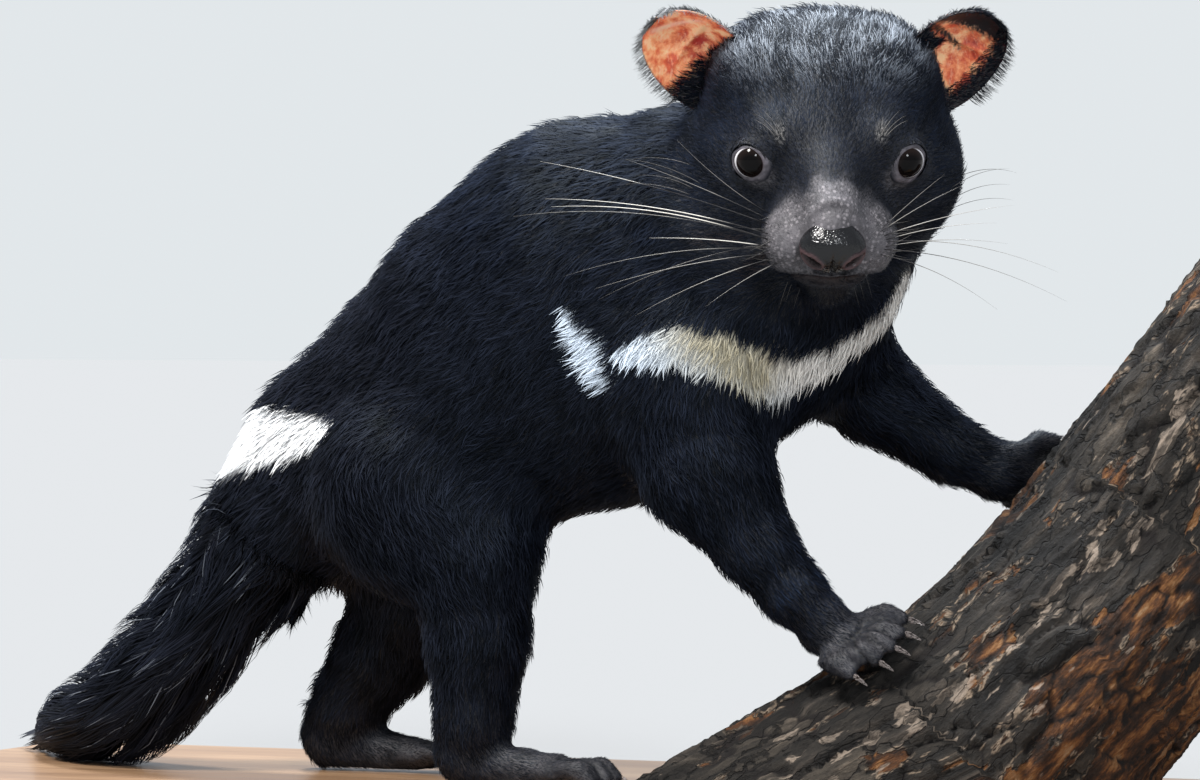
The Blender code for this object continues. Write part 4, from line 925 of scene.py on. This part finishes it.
def earPaint():
    paint = Paint("thin skin of the ears", {"Roughness": 0.5, "Specular IOR Level": 0.4,
                                            "Subsurface Weight": 0.25, "Subsurface Scale": 0.003})
    where = paint.place()
    bent = paint.warped(where, 0.35, 160.0)
    inner = paint.mark("inner")
    blotch = paint.grain(where, 170.0, 4.0, 0.6)
    colour = paint.ramp(blotch, [(0.28, (0.34, 0.04, 0.024)), (0.40, (0.66, 0.13, 0.055)),
                                 (0.50, (0.86, 0.32, 0.14)), (0.62, (1.0, 0.62, 0.34))])
    # painted shade: deep red blotches in the middle of the cup
    colour = paint.mix(paint.mark("heart") * paint.step(blotch, 0.62, 0.4), colour, (0.42, 0.035, 0.03))
    veins = 1.0 - paint.step(paint.cells(bent, 260.0, "DISTANCE_TO_EDGE"), 0.01, 0.09)
    colour = paint.mix(veins * 0.35, colour, (0.40, 0.05, 0.04))
    hair = paint.streaked(where, 900.0, 900.0, 240.0)
    colour = paint.mix(paint.step(hair, 0.52, 0.72) * 0.35, colour, (0.92, 0.62, 0.42))
    # painted highlight: a pale line where a fold catches the light
    colour = paint.mix(paint.mark("fold") * 0.6, colour, (0.92, 0.70, 0.55))
    # dark fur at root and rim, and painted shade along the ridge
    dusk = paint.step(paint.mark("dusk") + 1.1 * (hair - 0.5), 0.28, 0.80)
    colour = paint.mix(dusk, colour, (0.014, 0.012, 0.014))
    outer = paint.mix(paint.step(hair, 0.3, 0.7), (0.016, 0.014, 0.016), (0.06, 0.045, 0.045))
    colour = paint.mix(inner, outer, colour)
    paint.feed("Base Color", colour)
    # painted light: the inner face glows a little in its own colour, less where it is dark, as if lit through
    # from behind
    paint.surface.inputs["Emission Strength"].default_value = 0.16
    paintedBacklight = paint.mix(inner * (1.0 - paint.mark("dusk")), (0.0, 0.0, 0.0), colour)
    paint.feed("Emission Color", paintedBacklight)
    paint.bump(hair + blotch, 0.3, 0.4)
    return paint


def makeEars():
    paint = earPaint()
    rows, columns = earLook["rows"], earLook["columns"]
    count = rows * columns
    share, u = (g.ravel() for g in np.meshgrid(np.linspace(0.0, 1.0, rows), np.linspace(-1.0, 1.0, columns),
                                               indexing="ij"))
    cell = (np.arange(rows - 1)[:, None] * columns + np.arange(columns - 1)).ravel()
    sheet = np.stack([cell, cell + 1, cell + 1 + columns, cell + columns], axis=1)
    border = np.concatenate([np.arange(columns), np.arange(1, rows) * columns + columns - 1,
                             (rows - 1) * columns + np.arange(columns - 2, -1, -1),
                             np.arange(rows - 2, 0, -1) * columns])
    after = np.roll(border, -1)
    rim = np.stack([border, border + count, after + count, after], axis=1)
    faces = [np.concatenate([sheet, sheet[:, ::-1] + count, rim])]
    for side, name in ((1, "left"), (-1, "right")):
        front, out = earSheet(side, u, share), earFrame(side)[1] @ headAxes.T
        if side > 0:  # the left ear: a wide dark rim, also next to the crown, and a dark wedge
            edge = np.maximum(ease(u, 0.55, 0.9), ease(share - 0.1 * u, 0.62, 0.86))
            root = fall(share, 0.12, 0.30)
            # painted shade: a dark wedge along the ridge and down one side, added to the real dark fur of rim
            # and root
            shadedWedge = 0.75 * bell(share - 0.56 + 0.05 * u, 0.05) * fall(u, 0.0, 0.5)
            shadedWedge = np.maximum(shadedWedge, fall(u, -0.95, -0.45) * fall(share, 0.45, 0.9))
        else:  # the right one: a faint rim
            edge = 0.2 * np.maximum(ease(np.abs(u), 0.80, 0.97), ease(share, 0.90, 0.99))
            root = fall(share, 0.24, 0.42)
            shadedWedge = 0.15 * bell(share - 0.56 + 0.05 * u, 0.05) * fall(u, 0.0, 0.5)
        dusk = np.clip(np.maximum(np.maximum(edge, root), shadedWedge), 0, 1)
        # painted shade in the middle of the cup
        heart = bell(share - 0.50, 0.14) * bell(u + 0.1 * side, 0.4)
        # painted highlight along a fold near the top
        fold = bell(share - 0.80 - 0.15 * u * side, 0.025) * fall(np.abs(u), 0.5, 0.85)
        marks = {"dusk": dusk, "heart": heart, "fold": fold}
        marks = {label: np.tile(values, 2) for label, values in marks.items()}
        marks["inner"] = np.repeat((1.0, 0.0), count)
        addPiece("ear_skin_" + name, np.concatenate([front, front - out * earLook["thick"]]), faces, paint,
                 stands=["ear_" + name], marks=marks)
        furEar(side, name, out)


def furEar(side, name, out):
    # short hair on the back, a fringe on the rim and tufts in the opening's root; each row has the count, how
    # high and how far across, the face (-1 back, 0 rim, 1 front), the length and how much it stands up
    rng = np.random.default_rng(20 + side)
    rows = [
        (2600, rng.uniform(0.16, 0.99, 2600), rng.uniform(-0.98, 0.98, 2600), -1.0, 3.2, 0.30),
        (700, rng.uniform(0.25, 1.0, 700), np.where(rng.random(700) < 0.5, 0.985, -0.985), 0.0, 3.4, 0.6),
        (1300, rng.uniform(0.06, 0.36 if side < 0 else 0.5, 1300),
         rng.uniform(-0.97, 0.97 if side < 0 else -0.2, 1300), 1.0, 4.2, 0.55),
        (500, rng.uniform(0.955, 1.0, 500), rng.uniform(-0.8, 0.8, 500), 0.0, 3.0, 0.6),
    ]
    if side > 0:  # the left ear's outer edge is dark with fur
        rows.append((800, rng.uniform(0.05, 0.97, 800), rng.uniform(0.60, 0.98, 800), 1.0, 2.6, 0.3))
    parts = []
    for count, share, u, face, length, stand in rows:
        here = earSheet(side, u, share)
        upward = unit(earSheet(side, u, np.clip(share + 0.02, 0, 1.0)) - here + 1e-6)
        outward = unit(earSheet(side, u * 1.02, share) - here + 1e-6)
        if face:
            normal, lie, width = np.tile(out * face, (count, 1)), upward * 0.8 + outward * 0.25, 0.34
        else:
            normal, lie, width = out * 0.25 + outward, upward * 0.35 + outward * 0.9, 0.26
        lie = unit(lie + rng.normal(0.0, 0.18, (count, 3)))
        lengths = length * rng.uniform(0.6, 1.3, count)
        here = here - (out * earLook["thick"] if face < 0 else 0.0)
        parts.append((here, unit(normal), lie, lengths, lengths * stand, np.full(count, width),
                      lengths * rng.normal(0.0, 0.12, count), np.full(count, face), u, share))
    *shape, faces, u, share = (np.concatenate([part[k] for part in parts]) for k in range(10))
    roots, normals, lies = shape[:3]
    back, front = faces < 0.0, faces > 0.0
    rimmed = ~back & ~front | back & ((np.abs(u) > 0.86) | (share > 0.9))
    pale = rimmed * (1.0 if side < 0 else 0.15) * (rng.random(len(roots)) < 0.85)
    marks = dict.fromkeys(skinMarks, np.zeros(len(roots)))
    marks["white"] = (0.6 - 0.35 * back) * pale * (side < 0)
    marks["silver"] = pale * (side > 0)
    marks["brows"] = 0.5 * front * (rng.random(len(roots)) < 0.2)
    patch = np.stack([0.02 + 0.46 * (0.5 + 0.5 * u) + 0.5 * front, 0.02 + 0.96 * share], axis=1)
    addCoat("coat_ear_" + name, 2, tufts(*shape, 2, 0.3), normals, unit(np.cross(normals, lies)), marks,
            np.clip(rng.normal(0.5, 0.25, len(roots)), 0, 1), patch)


makeEars()

# Eyes: a dark iris with a thin white crescent, and pale lids

eyeLook = {"iris": (0.95, 0.25, 0.17), "irisReach": 5.75, "cornea": 0.7, "corneaReach": 6.2, "segments": 56,
           "rings": 40, "opening": 5.3, "lidThick": 0.95, "lidLift": 5.0, "lidSegments": 72, "lidSection": 14}


def eyePaint():
    paint = Paint("wet eye", {"Roughness": 0.06, "Specular IOR Level": 0.12})
    where = paint.place()
    ring = paint.mark("ring")
    fibre = paint.streaked(where, 1400.0, 1400.0, 1400.0, 3.0)
    iris = paint.mix(paint.step(ring, 0.45, 0.95), (0.0015, 0.0014, 0.0015), (0.010, 0.006, 0.005))
    iris = paint.mix(fibre * 0.3, iris, (0.005, 0.003, 0.003))
    white = paint.mix(paint.step(ring, 1.0, 1.35), (0.62, 0.60, 0.62), (0.88, 0.87, 0.88))
    paint.feed("Base Color", paint.mix(paint.step(ring, 0.96, 1.05), iris, white))
    return paint


def lidPaint():
    paint = Paint("skin of the lids", {"Roughness": 0.45, "Specular IOR Level": 0.45})
    where = paint.place()
    blotch = paint.grain(where, 420.0, 3.0)
    wrinkle = paint.streaked(where, 700.0, 700.0, 2200.0)
    colour = paint.mix(paint.step(blotch, 0.3, 0.7), (0.045, 0.040, 0.048), (0.125, 0.112, 0.13))
    colour = paint.mix(paint.mark("inner"), colour, (0.030, 0.020, 0.022))
    colour = paint.mix(paint.mark("outer"), colour, (0.022, 0.023, 0.03))
    paint.feed("Base Color", colour)
    paint.bump(wrinkle, 0.5, 0.3)
    return paint


def roundAim(centre, aim, lift, away, turn):
    # points round a line: how far along it, how far away from it and at what angle
    across = unit(np.cross(aim, (0.0, 0.0, 1.0)))
    return (centre + lift[..., None] * aim + (away * np.cos(turn))[..., None] * across
            + (away * np.sin(turn))[..., None] * np.cross(across, aim)).reshape(-1, 3)


def makeEyes():
    ballPaint, ringPaint = eyePaint(), lidPaint()
    for side, name in ((1, "left"), (-1, "right")):
        centre = fromHead(onSide(eyePlace["at"], side))
        iris, socket = (unit(onSide(way, side) @ headAxes.T) for way in (eyeLook["iris"], eyePlace["socket"]))
        tilt, turn = np.meshgrid(np.linspace(0.0, math.pi, eyeLook["rings"]), turnsOf(eyeLook["segments"]),
                                 indexing="ij")
        radius = eyePlace["radius"] - 0.25
        away, ahead = np.sin(tilt) * radius, tilt < math.pi / 2
        swell = eyeLook["cornea"] * np.clip(1.0 - (away / eyeLook["corneaReach"]) ** 2, 0.0, 1.0) * ahead
        addPiece("eyeball_" + name, roundAim(centre, iris, np.cos(tilt) * radius + swell, away, turn),
                 [ringQuads(*tilt.shape)], ballPaint, stands=["eye_" + name],
                 marks={"ring": np.where(ahead, away / eyeLook["irisReach"], 2.0)})
        turn, bend = np.meshgrid(turnsOf(eyeLook["lidSegments"]), turnsOf(eyeLook["lidSection"]),
                                 indexing="ij")
        corner = -0.7 if side > 0 else math.pi + 0.7  # the lower inner corner, where the lid is widest
        opening = eyeLook["opening"] * (1.0 - 0.06 * np.cos(2 * (turn - corner - 0.9)))
        lump = eyeLook["lidThick"] * (0.72 + 0.75 * ease(np.cos(turn - corner), -0.5, 1.0)
                                      + 0.07 * np.sin(7 * turn + 2 * side))
        wide = lump * 1.3 * (1.0 + np.cos(bend))
        lift = eyeLook["lidLift"] + 0.8 * lump * np.sin(bend) - 0.5 * wide
        addPiece("eyelids_" + name, roundAim(centre, socket, lift, opening + wide, turn),
                 [ringQuads(*turn.shape, closed=True)[:, [0, 3, 2, 1]]], ringPaint,
                 marks={"inner": ease(-np.cos(bend), 0.45, 0.85), "outer": ease(np.cos(bend), -0.1, 0.85)})


makeEyes()

# Nose: a wet pad with comma-shaped nostrils

def nosePaint():
    paint = Paint("wet nose", {"Roughness": 0.2, "Specular IOR Level": 0.45})
    where = paint.place()
    pebbles = paint.cells(where, 900.0, "DISTANCE_TO_EDGE")
    blotch = paint.grain(where, 200.0, 3.0)
    colour = paint.mix(blotch, (0.002, 0.002, 0.0025), (0.006, 0.006, 0.007))
    colour = paint.mix(paint.mark("rim") * 0.7, colour, (0.075, 0.034, 0.036))
    colour = paint.mix(paint.mark("hole"), colour, (0.004, 0.002, 0.002))
    paint.feed("Base Color", colour)
    paint.feed("Roughness", 0.20 + 0.2 * paint.mark("rim") + 0.5 * paint.mark("hole"))
    paint.bump(paint.step(pebbles, 0.0, 0.35) * 0.7 + blotch * 0.6, 0.35, 0.3)
    return paint


def makeNose():
    tilt, turn = np.meshgrid(np.linspace(0.0, math.pi, noseLook["rings"]), turnsOf(noseLook["sides"]),
                             indexing="ij")
    ball = np.stack([np.cos(tilt), np.sin(tilt) * np.cos(turn), np.sin(tilt) * np.sin(turn)], axis=-1)
    ball = ball.reshape(-1, 3)
    local = ball * noseLook["radii"] + noseLook["centre"]
    local[:, 1] *= 1.03 - 0.18 * ease(ball[:, 2], 0.0, 0.9) - 0.16 * ease(-ball[:, 2], 0.4, 0.95)
    for side in (1, -1):
        slope = unit(onSide(noseLook["roof"], side))
        roof = noseLook["roofStart"] * np.linalg.norm(slope * noseLook["radii"])
        over = np.maximum((local - noseLook["centre"]) @ slope - roof, 0.0)
        local = local - noseLook["roofShare"] * slope * over[:, None]
    hole, rim = np.zeros(len(ball)), np.zeros(len(ball))
    for side in (1, -1):
        near = reachOf(local, [(*onSide(joint, side), joint[3]) for joint in noseLook["nostril"]])
        hole = np.maximum(hole, fall(near, 0.75, 1.15))
        rim = np.maximum(rim, ease(near, 0.9, 1.15) * fall(near, 1.3, 2.0))
    front = ease(ball[:, 0], -0.1, 0.5)
    groove = bell(local[:, 1], 0.7) * ease(-ball[:, 2], -0.35, 0.4) * front
    dent = noseLook["holeDepth"] * hole + 0.9 * groove - noseLook["rimHeight"] * rim * front
    local = local - unit(ball / noseLook["radii"]) * dent[:, None]
    addPiece("nose_pad", fromHead(local), [ringQuads(*tilt.shape)], nosePaint(), stands=["nose"],
             marks={"hole": hole, "rim": rim * ease(-ball[:, 2], -0.5, 0.1)})


makeNose()

# Whiskers: fine tapered bristles from the pads, cheeks and brows

whiskerLook = {"sides": 4, "steps": 14, "girth": 0.17, "swing": 0.14}


def whiskerPaint():
    paint = Paint("whiskers", {"Roughness": 0.3, "Specular IOR Level": 0.6})
    paint.feed("Base Color", paint.mix(paint.mark("pale"), (0.012, 0.011, 0.012), (0.72, 0.68, 0.62)))
    return paint


whiskerPlan = (
    # root in the head's frame, then how far the tip goes right, up and nearer in the camera's view, how far
    # the middle bows up, how pale it is, where the pale part starts, and how thick it is
    ((50, -23.5, -12), (-79, 12, -18), 4.0, 1.0, 0.20, 1.5),
    ((49, -24, -10), (-81, 13, -18), 3.0, 1.0, 0.22, 1.3),
    ((44, -24.5, -8), (-83, 23, -15), 2.0, 0.8, 0.55, 1.2),
    ((51, -23.5, -14.5), (-43, 3, 0), 1.0, 0.9, 0.10, 1.2),
    ((47, -24.5, -13), (-92, 8, -21), 5.0, 0.35, 0.3, 0.9),
    ((50, -23.5, -16), (-74, -10, -15), 3.5, 0.3, 0.2, 0.9),
    ((52, -22.5, -17), (-64, -13, -11), 2.0, 0.4, 0.2, 1.0),
    ((53, -21.5, -18.5), (-50, -21, -6), 2.0, 0.45, 0.2, 1.0),
    ((54, -20, -20), (-26, -16, 3), 1.0, 0.35, 0.1, 0.9),
    ((45, -24.5, -17), (-60, -20, -11), 3.0, 0.2, 0.3, 0.9),
    ((40, -24.5, -5), (-34, 27, 2), -2.0, 0.25, 0.2, 0.8),
    ((43, -24.5, -6), (-52, 22, -8), 1.0, 0.3, 0.3, 0.9),
    ((53.5, 19.5, -8.5), (47, 11, 4), 1.5, 0.45, 0.1, 1.0),
    ((54, 20.6, -11), (62, -11, 4), 4.0, 0.3, 0.2, 0.9),
    ((55.5, 19.5, -13.4), (66, -19, 6), 4.0, 0.2, 0.3, 0.9),
    ((53.5, 18, -7), (30, 17, 4), 1.0, 0.4, 0.1, 0.8),
    ((51, 19.5, -6), (22, 19, 4), 0.5, 0.3, 0.1, 0.8),
    ((55, 20, -12.5), (44, 1, 6), 2.0, 0.3, 0.1, 0.9),
    ((56.5, 18, -15), (42, -20, 8), 3.0, 0.2, 0.3, 0.9),
    ((54, 20.6, -10), (40, 6, 2), 1.5, 0.5, 0.1, 1.0),
)


def makeWhiskers():
    surface = BVHTree.FromPolygons(skinPoints.tolist(), skinTriangles.tolist())
    rng = np.random.default_rng(33)
    turn = math.radians(cameraLook["azimuth"])
    seen = np.array(((math.cos(turn), math.sin(turn), 0.0), (0.0, 0.0, 1.0),
                     (math.sin(turn), -math.cos(turn), 0.0)))
    wanted = [(root, np.array(reach) @ seen, *rest) for root, reach, *rest in whiskerPlan]

    def short(side, at, way, reach, bow, light, girth):
        heading = unit(onSide(way, side)) @ headAxes.T
        wanted.append((onSide(at, side), heading * rng.uniform(*reach), bow, light, 0.0, girth))

    for side in (1, -1):
        for _ in range(8):  # between the long ones on the pads
            short(side, (rng.uniform(40, 56), rng.uniform(19, 25), rng.uniform(-20, -5)),
                  (rng.uniform(-0.3, 0.3), 1.0, rng.uniform(-0.5, 0.5)), (6, 12), -0.3, 0.12, 0.5)
        for k in range(4):  # cheek
            short(side, (14.0 - 3 * k, 41.0, -8.0 - 5 * (k % 3)), (-0.5, 1.0, 0.1 - 0.1 * k), (24, 36),
                  2.0, 0.1, 0.7)
        for k in range(3):  # brow
            short(side, (32.0, 18.0 + 1.2 * k, 21.0), (0.1, 0.5 + 0.2 * k, 0.8), (9, 15), 1.0, 0.3, 0.6)
        for k in range(3):  # chin
            short(side, (36.0 - 5 * k, 7.0 + k, -36.0), (0.2, 0.3, -1.0), (7, 12), 0.5, 0.05, 0.6)
    shapes, pale, sides = [], [], whiskerLook["sides"]
    share = np.linspace(0.0, 1.0, whiskerLook["steps"])
    for at, reach, bow, light, start, girth in wanted:
        root = np.array(surface.find_nearest(Vector(fromHead(at)))[0])
        swing = np.array((0.0, 0.0, 4.0 * bow)) + seen[2] * whiskerLook["swing"] * np.linalg.norm(reach)
        path = root + reach * share[:, None] + swing * (share * (1 - share))[:, None]
        shapes.append(tube(path, whiskerLook["girth"] * girth * (1.0 - 0.9 * share ** 1.5), sides))
        shade = light * ease(share, start - 0.02, start + 0.08)
        pale += [np.repeat(shade, sides), shade[[-1, -1]]]
    points, faces = joined(shapes)
    addPiece("whiskers", points, faces, whiskerPaint(), marks={"pale": np.concatenate(pale)})


makeWhiskers()

# Claws keep their solids, rounded, in streaked horn

def clawPaint():
    paint = Paint("horn of the claws", {"Roughness": 0.32, "Specular IOR Level": 0.5})
    where = paint.place()
    streak = paint.streaked(where, 900.0, 900.0, 300.0)
    paint.feed("Base Color", paint.mix(streak, (0.055, 0.045, 0.045), (0.24, 0.21, 0.20)))
    paint.bump(streak, 0.3, 0.2)
    return paint


clawHorn = clawPaint()
for name, node in cadNodes.items():
    if name.startswith("claw"):
        repaint(node, clawHorn)
        soften = node.modifiers.new("rounded", "SUBSURF")
        soften.levels = soften.render_levels = 1

# Log: bark in plates with fissures, flakes, a peeled streak and worn orange patches

logLook = {"voxel": setting(2.0), "plate": 3.6, "rings": 1.9}
logPath = ((44, -30, -38), (89, -9, -10), (137, 15, 17), (171, 43, 60), (200, 69, 102), (225, 85, 142),
           (252, 103, 187))  # the line through its middle, from the ground up


def logPlaces(points):
    # how far along the log each point is, the turn round it, and the way out of it
    best, down, turn, radial = np.full(len(points), 1e9), 0.0, 0.0, np.zeros((len(points), 3))
    walked = 0.0
    for a, b in zip(logPath, logPath[1:]):
        share, away, step = alongLine(points, a, b)
        size, distance = np.linalg.norm(step), np.linalg.norm(away, axis=1)
        closer = distance < best
        best = np.where(closer, distance, best)
        turn = np.where(closer, turnRound(away, step, (0.0, 0.0, 1.0)), turn)
        down = np.where(closer, walked + size * share, down)
        radial = np.where(closer[:, None], unit(away), radial)
        walked += size
    return down, turn, radial


def barkPaint():
    paint = Paint("rough bark", {"Roughness": 0.85, "Specular IOR Level": 0.3})
    where = paint.place()
    run = paint.add("ShaderNodeCombineXYZ", sockets={0: paint.mark("down") * 0.016, 1: paint.mark("roundX"),
                                                     2: paint.mark("roundY")})

    def drawn(x, scale, detail, rough=0.55):  # noise drawn out along the log
        return paint.grain(paint.stretched(run, x, 1.0, 1.0), scale, detail, rough)

    streaks, plates = drawn(0.25, 16.0, 6.0, 0.65), drawn(0.25, 5.5, 5.0, 0.6)
    fine = paint.grain(where, 700.0, 5.0, 0.65)
    colour = paint.ramp(plates * 0.6 + streaks * 0.4, [
        (0.39, (0.006, 0.0055, 0.0055)), (0.47, (0.021, 0.020, 0.0195)), (0.55, (0.052, 0.050, 0.048)),
        (0.64, (0.155, 0.145, 0.138))])
    colour = paint.mix(paint.mark("shade"), paint.times(colour, (0.55, 0.54, 0.55)),
                       paint.times(colour, (1.35, 1.30, 1.25)))
    orange = paint.ramp(drawn(0.35, 12.0, 6.0, 0.65), [
        (0.38, (0.009, 0.005, 0.004)), (0.47, (0.040, 0.020, 0.011)), (0.54, (0.120, 0.052, 0.020)),
        (0.60, (0.235, 0.115, 0.042)), (0.70, (0.34, 0.235, 0.15))])
    edge = drawn(0.5, 2.8, 5.0, 0.62) + 0.17 * paint.mark("worn") + 0.05 * (streaks - 0.5)
    worn = paint.step(edge, 0.575, 0.60)
    colour = paint.mix(worn, colour, orange)
    lip = paint.step(edge, 0.545, 0.572) * (1.0 - worn) * paint.step(streaks, 0.46, 0.60)
    colour = paint.mix(lip * 0.75, colour, (0.40, 0.34, 0.29))
    bent = paint.stretched(paint.warped(run, 0.12, 7.0), 0.28, 1.0, 1.0)
    crack = paint.cells(bent, 6.0, "DISTANCE_TO_EDGE") + 0.10 * (fine - 0.5)
    cracked = paint.step(crack, 0.045, 0.0) * (1.0 - worn)
    colour = paint.mix(cracked * 0.9, colour, (0.006, 0.005, 0.005))
    colour = paint.mix(paint.step(paint.mark("pit"), 0.35, 0.9), colour, (0.006, 0.004, 0.004))
    flake = paint.step(drawn(0.4, 11.0, 3.0) + 0.13 * paint.mark("peeled"), 0.66, 0.70)
    colour = paint.mix(flake * (0.15 + 0.6 * paint.step(streaks, 0.42, 0.60)), colour, (0.42, 0.38, 0.36))
    colour = paint.mix(0.45 * fine, colour, paint.times(colour, (0.35, 0.35, 0.35)))
    wood = paint.step(paint.grain(where, 500.0, 4.0), 0.35, 0.7)
    wood = paint.mix(wood, (0.24, 0.16, 0.09), (0.42, 0.31, 0.20))
    wood = paint.mix(paint.step(paint.mark("rings"), 0.35, 0.8) * 0.5, wood, (0.17, 0.10, 0.05))
    colour = paint.mix(paint.mark("sawn"), paint.times(colour, (0.74, 0.65, 0.54)), wood)
    paint.feed("Base Color", colour)
    paint.bump(streaks * 1.2 + plates + fine * 0.4 - cracked * 0.9 - worn * 0.7, 1.0, 2.2)
    return paint


def plateAt(down, turn):
    # how deep in a fissure a place on the bark is, how far it lifts, and the shade of its plate
    here = Vector((down * 0.018, 1.9 * math.cos(turn), 1.9 * math.sin(turn)))
    shift = Vector([noise.noise(here * 1.7 + Vector(way)) for way in ((0, 0, 0), (9, 0, 0), (0, 9, 0))])
    bent = here + 0.40 * shift
    near, places = noise.voronoi(Vector((bent.x, bent.y * 1.6, bent.z * 1.6)))
    fine = noise.fractal(Vector((here.x * 4.0, here.y * 9.0, here.z * 9.0)), 0.8, 2.1, 3)
    own = Vector(places[0])
    pit = 1.0 - min((near[1] - near[0]) / (0.10 + 0.10 * noise.cell(own * 3.3)), 1.0)
    lift = (1.0 - pit ** 0.7) * (0.55 + 0.45 * noise.cell(own * 7.3)) + 0.35 * fine
    return pit, lift, noise.cell(own * 5.1 + Vector((3, 0, 0)))


def makeLog():
    points, triangles = weldedShape(cadNodes["perch_log"])
    points, faces = remeshed(points, [triangles], logLook["voxel"])
    triangles = trianglesOf(faces)
    points = relaxed(points, triangles, 2)
    normals = normalsOf(points, triangles)
    down, turn, radial = logPlaces(points)
    before, end = np.array(logPath[-2:], float)
    endWay = unit(end - before)
    sawn = (normals @ endWay > 0.8) & (points[:, 2] > 150.0)
    sawn |= (normals[:, 2] < -0.9) & (points[:, 2] < boardTop + 3.0)
    hard = (np.einsum("ij,ij->i", normals, radial) > 0.4) & ~sawn
    pit, lift, shade = np.array([plateAt(d, t) for d, t in zip(down, turn)]).T
    relief = np.where(hard, logLook["plate"] * (lift - 0.9), 0.0) * ease(points[:, 2] - boardTop, 0.3, 5.0)
    points = points + radial * relief[:, None]
    points[:, 2] = np.maximum(points[:, 2], boardTop + 0.3)
    across = points - end - np.outer((points - end) @ endWay, endWay)
    rings = 0.5 + 0.5 * np.sin(np.linalg.norm(across, axis=1) * logLook["rings"])
    worn = ease(-np.cos(turn), -0.55, 0.35) * ease(down, 60.0, 170.0)
    addPiece("bark_log", points, faces, barkPaint(), stands=["perch_log"], marks={
        "pit": np.where(sawn, 0.0, pit), "shade": shade, "down": down, "roundX": np.cos(turn),
        "roundY": np.sin(turn), "sawn": sawn, "rings": np.where(sawn, rings, 0.0),
        "peeled": bell(turn - 0.95, 0.18), "worn": worn})
    print("log:", len(triangles), "triangles")


makeLog()

# Stand: varnished board and steel rod

def boardPaint():
    paint = Paint("varnished board", {"Roughness": 0.35, "Coat Weight": 0.3, "Coat Roughness": 0.15})
    where = paint.place()
    waves = paint.streaked(where, 2.5, 30.0, 30.0, 4.0)
    grain = paint.streaked(where, 12.0, 260.0, 260.0, 5.0)
    colour = paint.ramp(waves * 0.6 + grain * 0.4, [(0.3, (0.16, 0.085, 0.045)), (0.5, (0.28, 0.165, 0.09)),
                                                   (0.7, (0.40, 0.26, 0.15))])
    paint.feed("Base Color", colour)
    paint.feed("Roughness", 0.28 + 0.2 * grain)
    paint.bump(grain, 0.2, 0.3)
    return paint


def steelPaint():
    paint = Paint("brushed steel", {"Metallic": 1.0, "Roughness": 0.3})
    where = paint.place()
    brush = paint.streaked(where, 300.0, 300.0, 4000.0, 3.0)
    paint.feed("Base Color", paint.mix(brush, (0.46, 0.47, 0.49), (0.62, 0.63, 0.65)))
    paint.feed("Roughness", 0.24 + 0.2 * brush)
    paint.bump(brush, 0.15, 0.1)
    return paint


for name, paint in (("stand_base", boardPaint()), ("stand_rod", steelPaint())):
    repaint(cadNodes[name], paint)

# Floor, light and camera

studio = {"floor": 12.0, "sky": 0.5, "backdrop": 1.0, "lights": {  # place, power, spread in degrees, colour
    "key light": ((-0.7, -1.5, 2.3), 5.4, 14.0, (1.0, 0.98, 0.95)),
    "fill light": ((1.5, -1.9, 1.3), 1.5, 12.0, (0.93, 0.96, 1.0)),
    "top light": ((-0.3, 0.55, 2.2), 5.4, 16.0, (0.88, 0.94, 1.0)),
}}


def makeFloor():
    mesh = bpy.data.meshes.new("floor")
    half = studio["floor"]
    mesh.from_pydata([(-half, -half, 0), (half, -half, 0), (half, half, 0), (-half, half, 0)], [],
                     [(0, 1, 2, 3)])
    floor = bpy.data.objects.new("floor", mesh)
    bpy.context.scene.collection.objects.link(floor)
    paint = Paint("pale floor", {"Roughness": 0.9, "Specular IOR Level": 0.0,
                                 "Base Color": (0.226, 0.226, 0.226)})
    mesh.materials.append(paint.material)


def addLight(name, place, power, spread, colour):
    # a wide, distant lamp, so that the floor is lit evenly; place is where it shines from
    light = bpy.data.lights.new(name, "SUN")
    light.energy, light.angle, light.color = power, math.radians(spread), colour
    lamp = bpy.data.objects.new(name, light)
    lamp.location = place
    lamp.rotation_euler = (-Vector(place)).to_track_quat("-Z", "Y").to_euler()
    bpy.context.scene.collection.objects.link(lamp)


def makeStudio():
    makeFloor()
    for name, settings in studio["lights"].items():
        addLight(name, *settings)
    world = bpy.data.worlds.new("pale studio")
    world.use_nodes = True
    tree = world.node_tree
    nodes = tree.nodes
    sky, seen = nodes["Background"], nodes.new("ShaderNodeBackground")
    rays, both = nodes.new("ShaderNodeLightPath"), nodes.new("ShaderNodeMixShader")
    sky.inputs["Color"].default_value = (0.86, 0.92, 1.0, 1.0)
    sky.inputs["Strength"].default_value = studio["sky"]
    seen.inputs["Color"].default_value = (0.76, 0.80, 0.825, 1.0)
    seen.inputs["Strength"].default_value = studio["backdrop"]
    tree.links.new(rays.outputs["Is Camera Ray"], both.inputs[0])
    tree.links.new(sky.outputs[0], both.inputs[1])
    tree.links.new(seen.outputs[0], both.inputs[2])
    tree.links.new(both.outputs[0], nodes["World Output"].inputs[0])
    bpy.context.scene.world = world
    bpy.context.scene.view_settings.view_transform = "Standard"


def makeCamera():
    lens = bpy.data.cameras.new("camera")
    camera = bpy.data.objects.new("camera", lens)
    bpy.context.scene.collection.objects.link(camera)
    turn, rise = math.radians(cameraLook["azimuth"]), math.radians(cameraLook["rise"])
    away = cameraLook["away"]
    target = Vector(toRow(cameraLook["target"]))
    back = Vector((math.sin(turn) * math.cos(rise), -math.cos(turn) * math.cos(rise), math.sin(rise)))
    camera.location = target + back * away
    camera.rotation_euler = (-back).to_track_quat("-Z", "Y").to_euler()
    lens.sensor_width = 36.0
    lens.lens = lens.sensor_width * away / cameraLook["width"]
    lens.clip_end = 20.0
    bpy.context.scene.camera = camera


makeStudio()
makeCamera()
print("scene ready")
